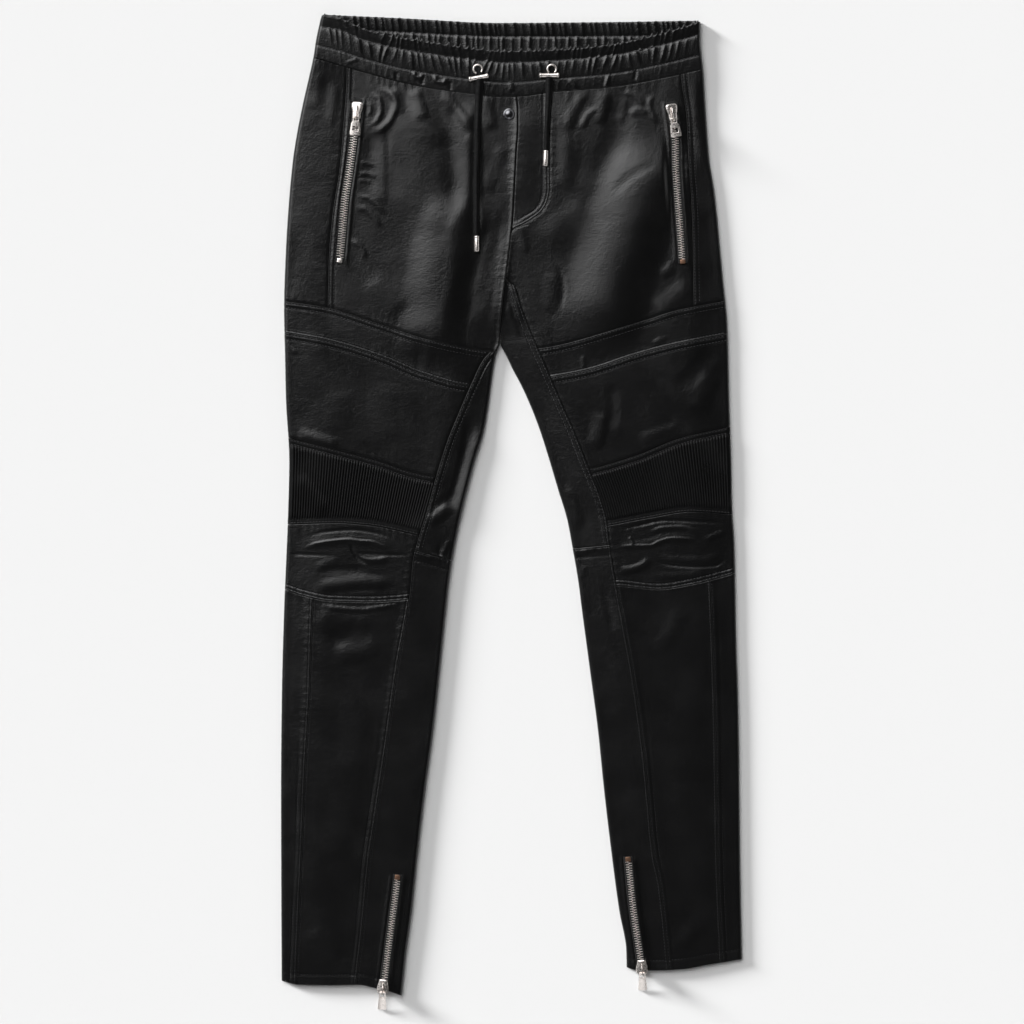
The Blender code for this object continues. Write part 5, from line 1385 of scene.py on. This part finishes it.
def toggle(side, spec):
    low, high = box_mm("toggle_ring_" + side)
    gap, middle = math.radians(spec["gap"]), math.radians(spec["gap_at"])
    sweep = np.linspace(middle + gap / 2, middle + 2 * np.pi - gap / 2, 40)
    ring_x, ring_y = spec["ring"]
    path = np.column_stack((ring_x + RING_RADIUS * np.cos(sweep),
                            ring_y + RING_RADIUS * np.sin(sweep),
                            np.full(40, (low[2] + high[2]) / 2)))
    ring = swept("toggle_" + side + "_ring", path,
                 round_sections([RING_WIRE] * 40, 12), NICKEL)
    settle(ring, "toggle_ring_" + side)
    low, high = box_mm("toggle_bar_" + side)
    tilt = math.radians(spec["tilt"])
    at, size = np.array(BAR_SHAPE).T
    reach = (at - 0.5) * BAR_LENGTH
    bar_x, bar_y = spec["bar"]
    path = np.column_stack((bar_x + reach * math.cos(tilt), bar_y + reach * math.sin(tilt),
                            np.full(len(at), (low[2] + high[2]) / 2)))
    bar = swept("toggle_" + side + "_bar", path, round_sections(size, 20), NICKEL)
    settle(bar, "toggle_bar_" + side)


def drawcord(side, spec):
    """Flattened, crinkled leather cord with its metal end."""
    path = smooth_points(spec["route"], 40)
    run = run_along(path)
    length = run[-1]
    at = np.arange(0, length, 0.7)
    path = np.column_stack([np.interp(at, run, path[:, axis]) for axis in range(3)])
    around = np.arange(24) * 2 * np.pi / 24
    sections = []
    for place, part in zip(at, at / length):
        crinkle = (0.07 * np.sin(place * 0.9 + 2.2 * np.sin(place / 9) + 0.7 * np.sin(around * 2))
                   + 0.04 * np.sin(place * 2.3 + 3 * around))
        fold = 0.3 * np.exp(-((around - 2.0 - 0.5 * math.sin(place / 16)) / 0.35) ** 2)
        size = round_section(float(CORD_HALF(part)), float(CORD_THICK(part)), 24)
        grow = 1 + (crinkle - fold) / 3.2
        sections.append(size * grow[:, None])
    cord = swept("drawcord_" + side + "_leather", path, np.stack(sections), CORD_LEATHER, sharp=80)
    settle(cord, "drawcord_" + side)
    end = np.array(spec["route"][-1])
    way = np.array(spec["tip"]) - end
    way /= np.linalg.norm(way)
    at, size = np.array(AGLET_SHAPE).T
    tip = swept("aglet_" + side + "_metal", end + way * (at + SEAM)[:, None],
                round_sections(size, 24), NICKEL)
    settle(tip, "aglet_" + side)


# Snap: height and radius of its turned form
SNAP_PLACE = (-2.5, 420.5)
SNAP_SHAPE = ((0, 5.9), (0.3, 6.1), (0.6, 6.0), (0.7, 5.6), (0.75, 5.3), (1.1, 4.95), (1.5, 4.45),
              (1.9, 3.85), (2.25, 3.1), (2.5, 2.3), (2.66, 1.5), (2.74, 0.8), (2.76, 0.1))


def snap():
    low, _ = box_mm("snap")
    height, radius = np.array(SNAP_SHAPE).T
    path = np.column_stack((np.full(len(height), SNAP_PLACE[0]),
                            np.full(len(height), SNAP_PLACE[1]), low[2] + height))
    path[:, 2] += np.arange(len(path)) * 1e-4
    dome = swept("snap_dome", path, round_sections(radius, 40), DARK_METAL, up=(0, 1, 0))
    settle(dome, "snap")


# Camera, floor and light
PHOTO_HALF_WIDTH = 542.7
LENS = 100.0
SENSOR = 36.0
CAMERA_PLACE = (0.5, -0.2)
KEY_WAY = (-0.60, 0.80)         # the side that the light comes from
KEY_ZENITH = 44.5
KEY_WIDE = (15.0, 35.0)         # full inside the first angle, none beyond the second
KEY_POWER = 4.4
CARD_WAY = (0.0, -1.0)          # a dim card at the foot, seen only in the ankle tabs
CARD_ZENITH = 56.0
CARD_WIDE = (6.0, 20.0)
CARD_POWER = 0.9
LOW_WAY = (-0.86, 0.5)          # the low light that only casts the shadow on the floor
LOW_ZENITH = 79.0
LOW_WIDE = 12.0
LOW_POWER = 11.5


def camera():
    data = bpy.data.cameras.new("camera")
    data.lens = LENS
    data.sensor_width = SENSOR
    data.clip_end = 100
    item = new_object("camera", data)
    away = PHOTO_HALF_WIDTH * LENS / (SENSOR / 2)
    item.location = Vector((*CAMERA_PLACE, away)) * MM
    bpy.context.scene.camera = item


def floor():
    material = new_material("floor", (0.60, 0.60, 0.60), 0.9)[0]
    bm = bmesh.new()
    bmesh.ops.create_grid(bm, x_segments=2, y_segments=2, size=12)
    item = mesh_object("floor", bm, material)
    item.location.z = -0.3 * MM


def low_light():
    """Low soft light from the left that gives the floor its shadow."""
    data = bpy.data.lights.new("low_light", "SUN")
    data.energy = LOW_POWER
    data.angle = math.radians(LOW_WIDE)
    item = new_object("low_light", data)
    zenith = math.radians(LOW_ZENITH)
    way = Vector((*(Vector(LOW_WAY).normalized() * math.sin(zenith)), math.cos(zenith)))
    item.rotation_euler = way.to_track_quat("Z", "Y").to_euler()
    item.visible_glossy = False


def studio_light():
    """One large soft light from the upper left, a dim card and a pale horizon, as the world."""
    world = bpy.data.worlds.new("studio")
    world.use_nodes = True
    bpy.context.scene.world = world
    nodes, link = world.node_tree.nodes, world.node_tree.links.new
    background = nodes["Background"]
    place = nodes.new("ShaderNodeTexCoord")
    split = nodes.new("ShaderNodeSeparateXYZ")
    link(place.outputs["Generated"], split.inputs["Vector"])
    sky = ramp(nodes, link, split.outputs["Z"], (0.0, 0.8), (0.30, 0.65), (0.5, 0.09),
               (1.0, 0.02))
    for heading, zenith, wide, power in ((KEY_WAY, KEY_ZENITH, KEY_WIDE, KEY_POWER),
                                         (CARD_WAY, CARD_ZENITH, CARD_WIDE, CARD_POWER)):
        zenith = math.radians(zenith)
        way = Vector(heading).normalized() * math.sin(zenith)
        toward = nodes.new("ShaderNodeVectorMath")
        toward.operation = "DOT_PRODUCT"
        toward.inputs[1].default_value = (way.x, way.y, math.cos(zenith))
        link(place.outputs["Generated"], toward.inputs[0])
        patch = nodes.new("ShaderNodeMapRange")
        patch.interpolation_type = "SMOOTHSTEP"
        patch.inputs["From Min"].default_value = math.cos(math.radians(wide[1]))
        patch.inputs["From Max"].default_value = math.cos(math.radians(wide[0]))
        patch.inputs["To Max"].default_value = power
        link(toward.outputs["Value"], patch.inputs["Value"])
        total = nodes.new("ShaderNodeVectorMath")
        total.operation = "ADD"
        link(sky, total.inputs[0])
        link(patch.outputs["Result"], total.inputs[1])
        sky = total.outputs["Vector"]
    link(sky, background.inputs["Color"])
    bpy.context.scene.view_settings.view_transform = "Standard"


camera()
studio_light()
low_light()
floor()
for panel_name, panel_spec in PANELS.items():
    leather_panel(panel_name, panel_spec)
leather_panel("waistband_front", BAND)
back_leg("l", back_outer_l, back_inner_l, HEM_L)
back_leg("r", back_inner_r, back_outer_r, HEM_R)
back_band()
zips()
for cord_side, cord_spec in DRAWCORDS.items():
    toggle(cord_side, cord_spec)
    drawcord(cord_side, cord_spec)
snap()
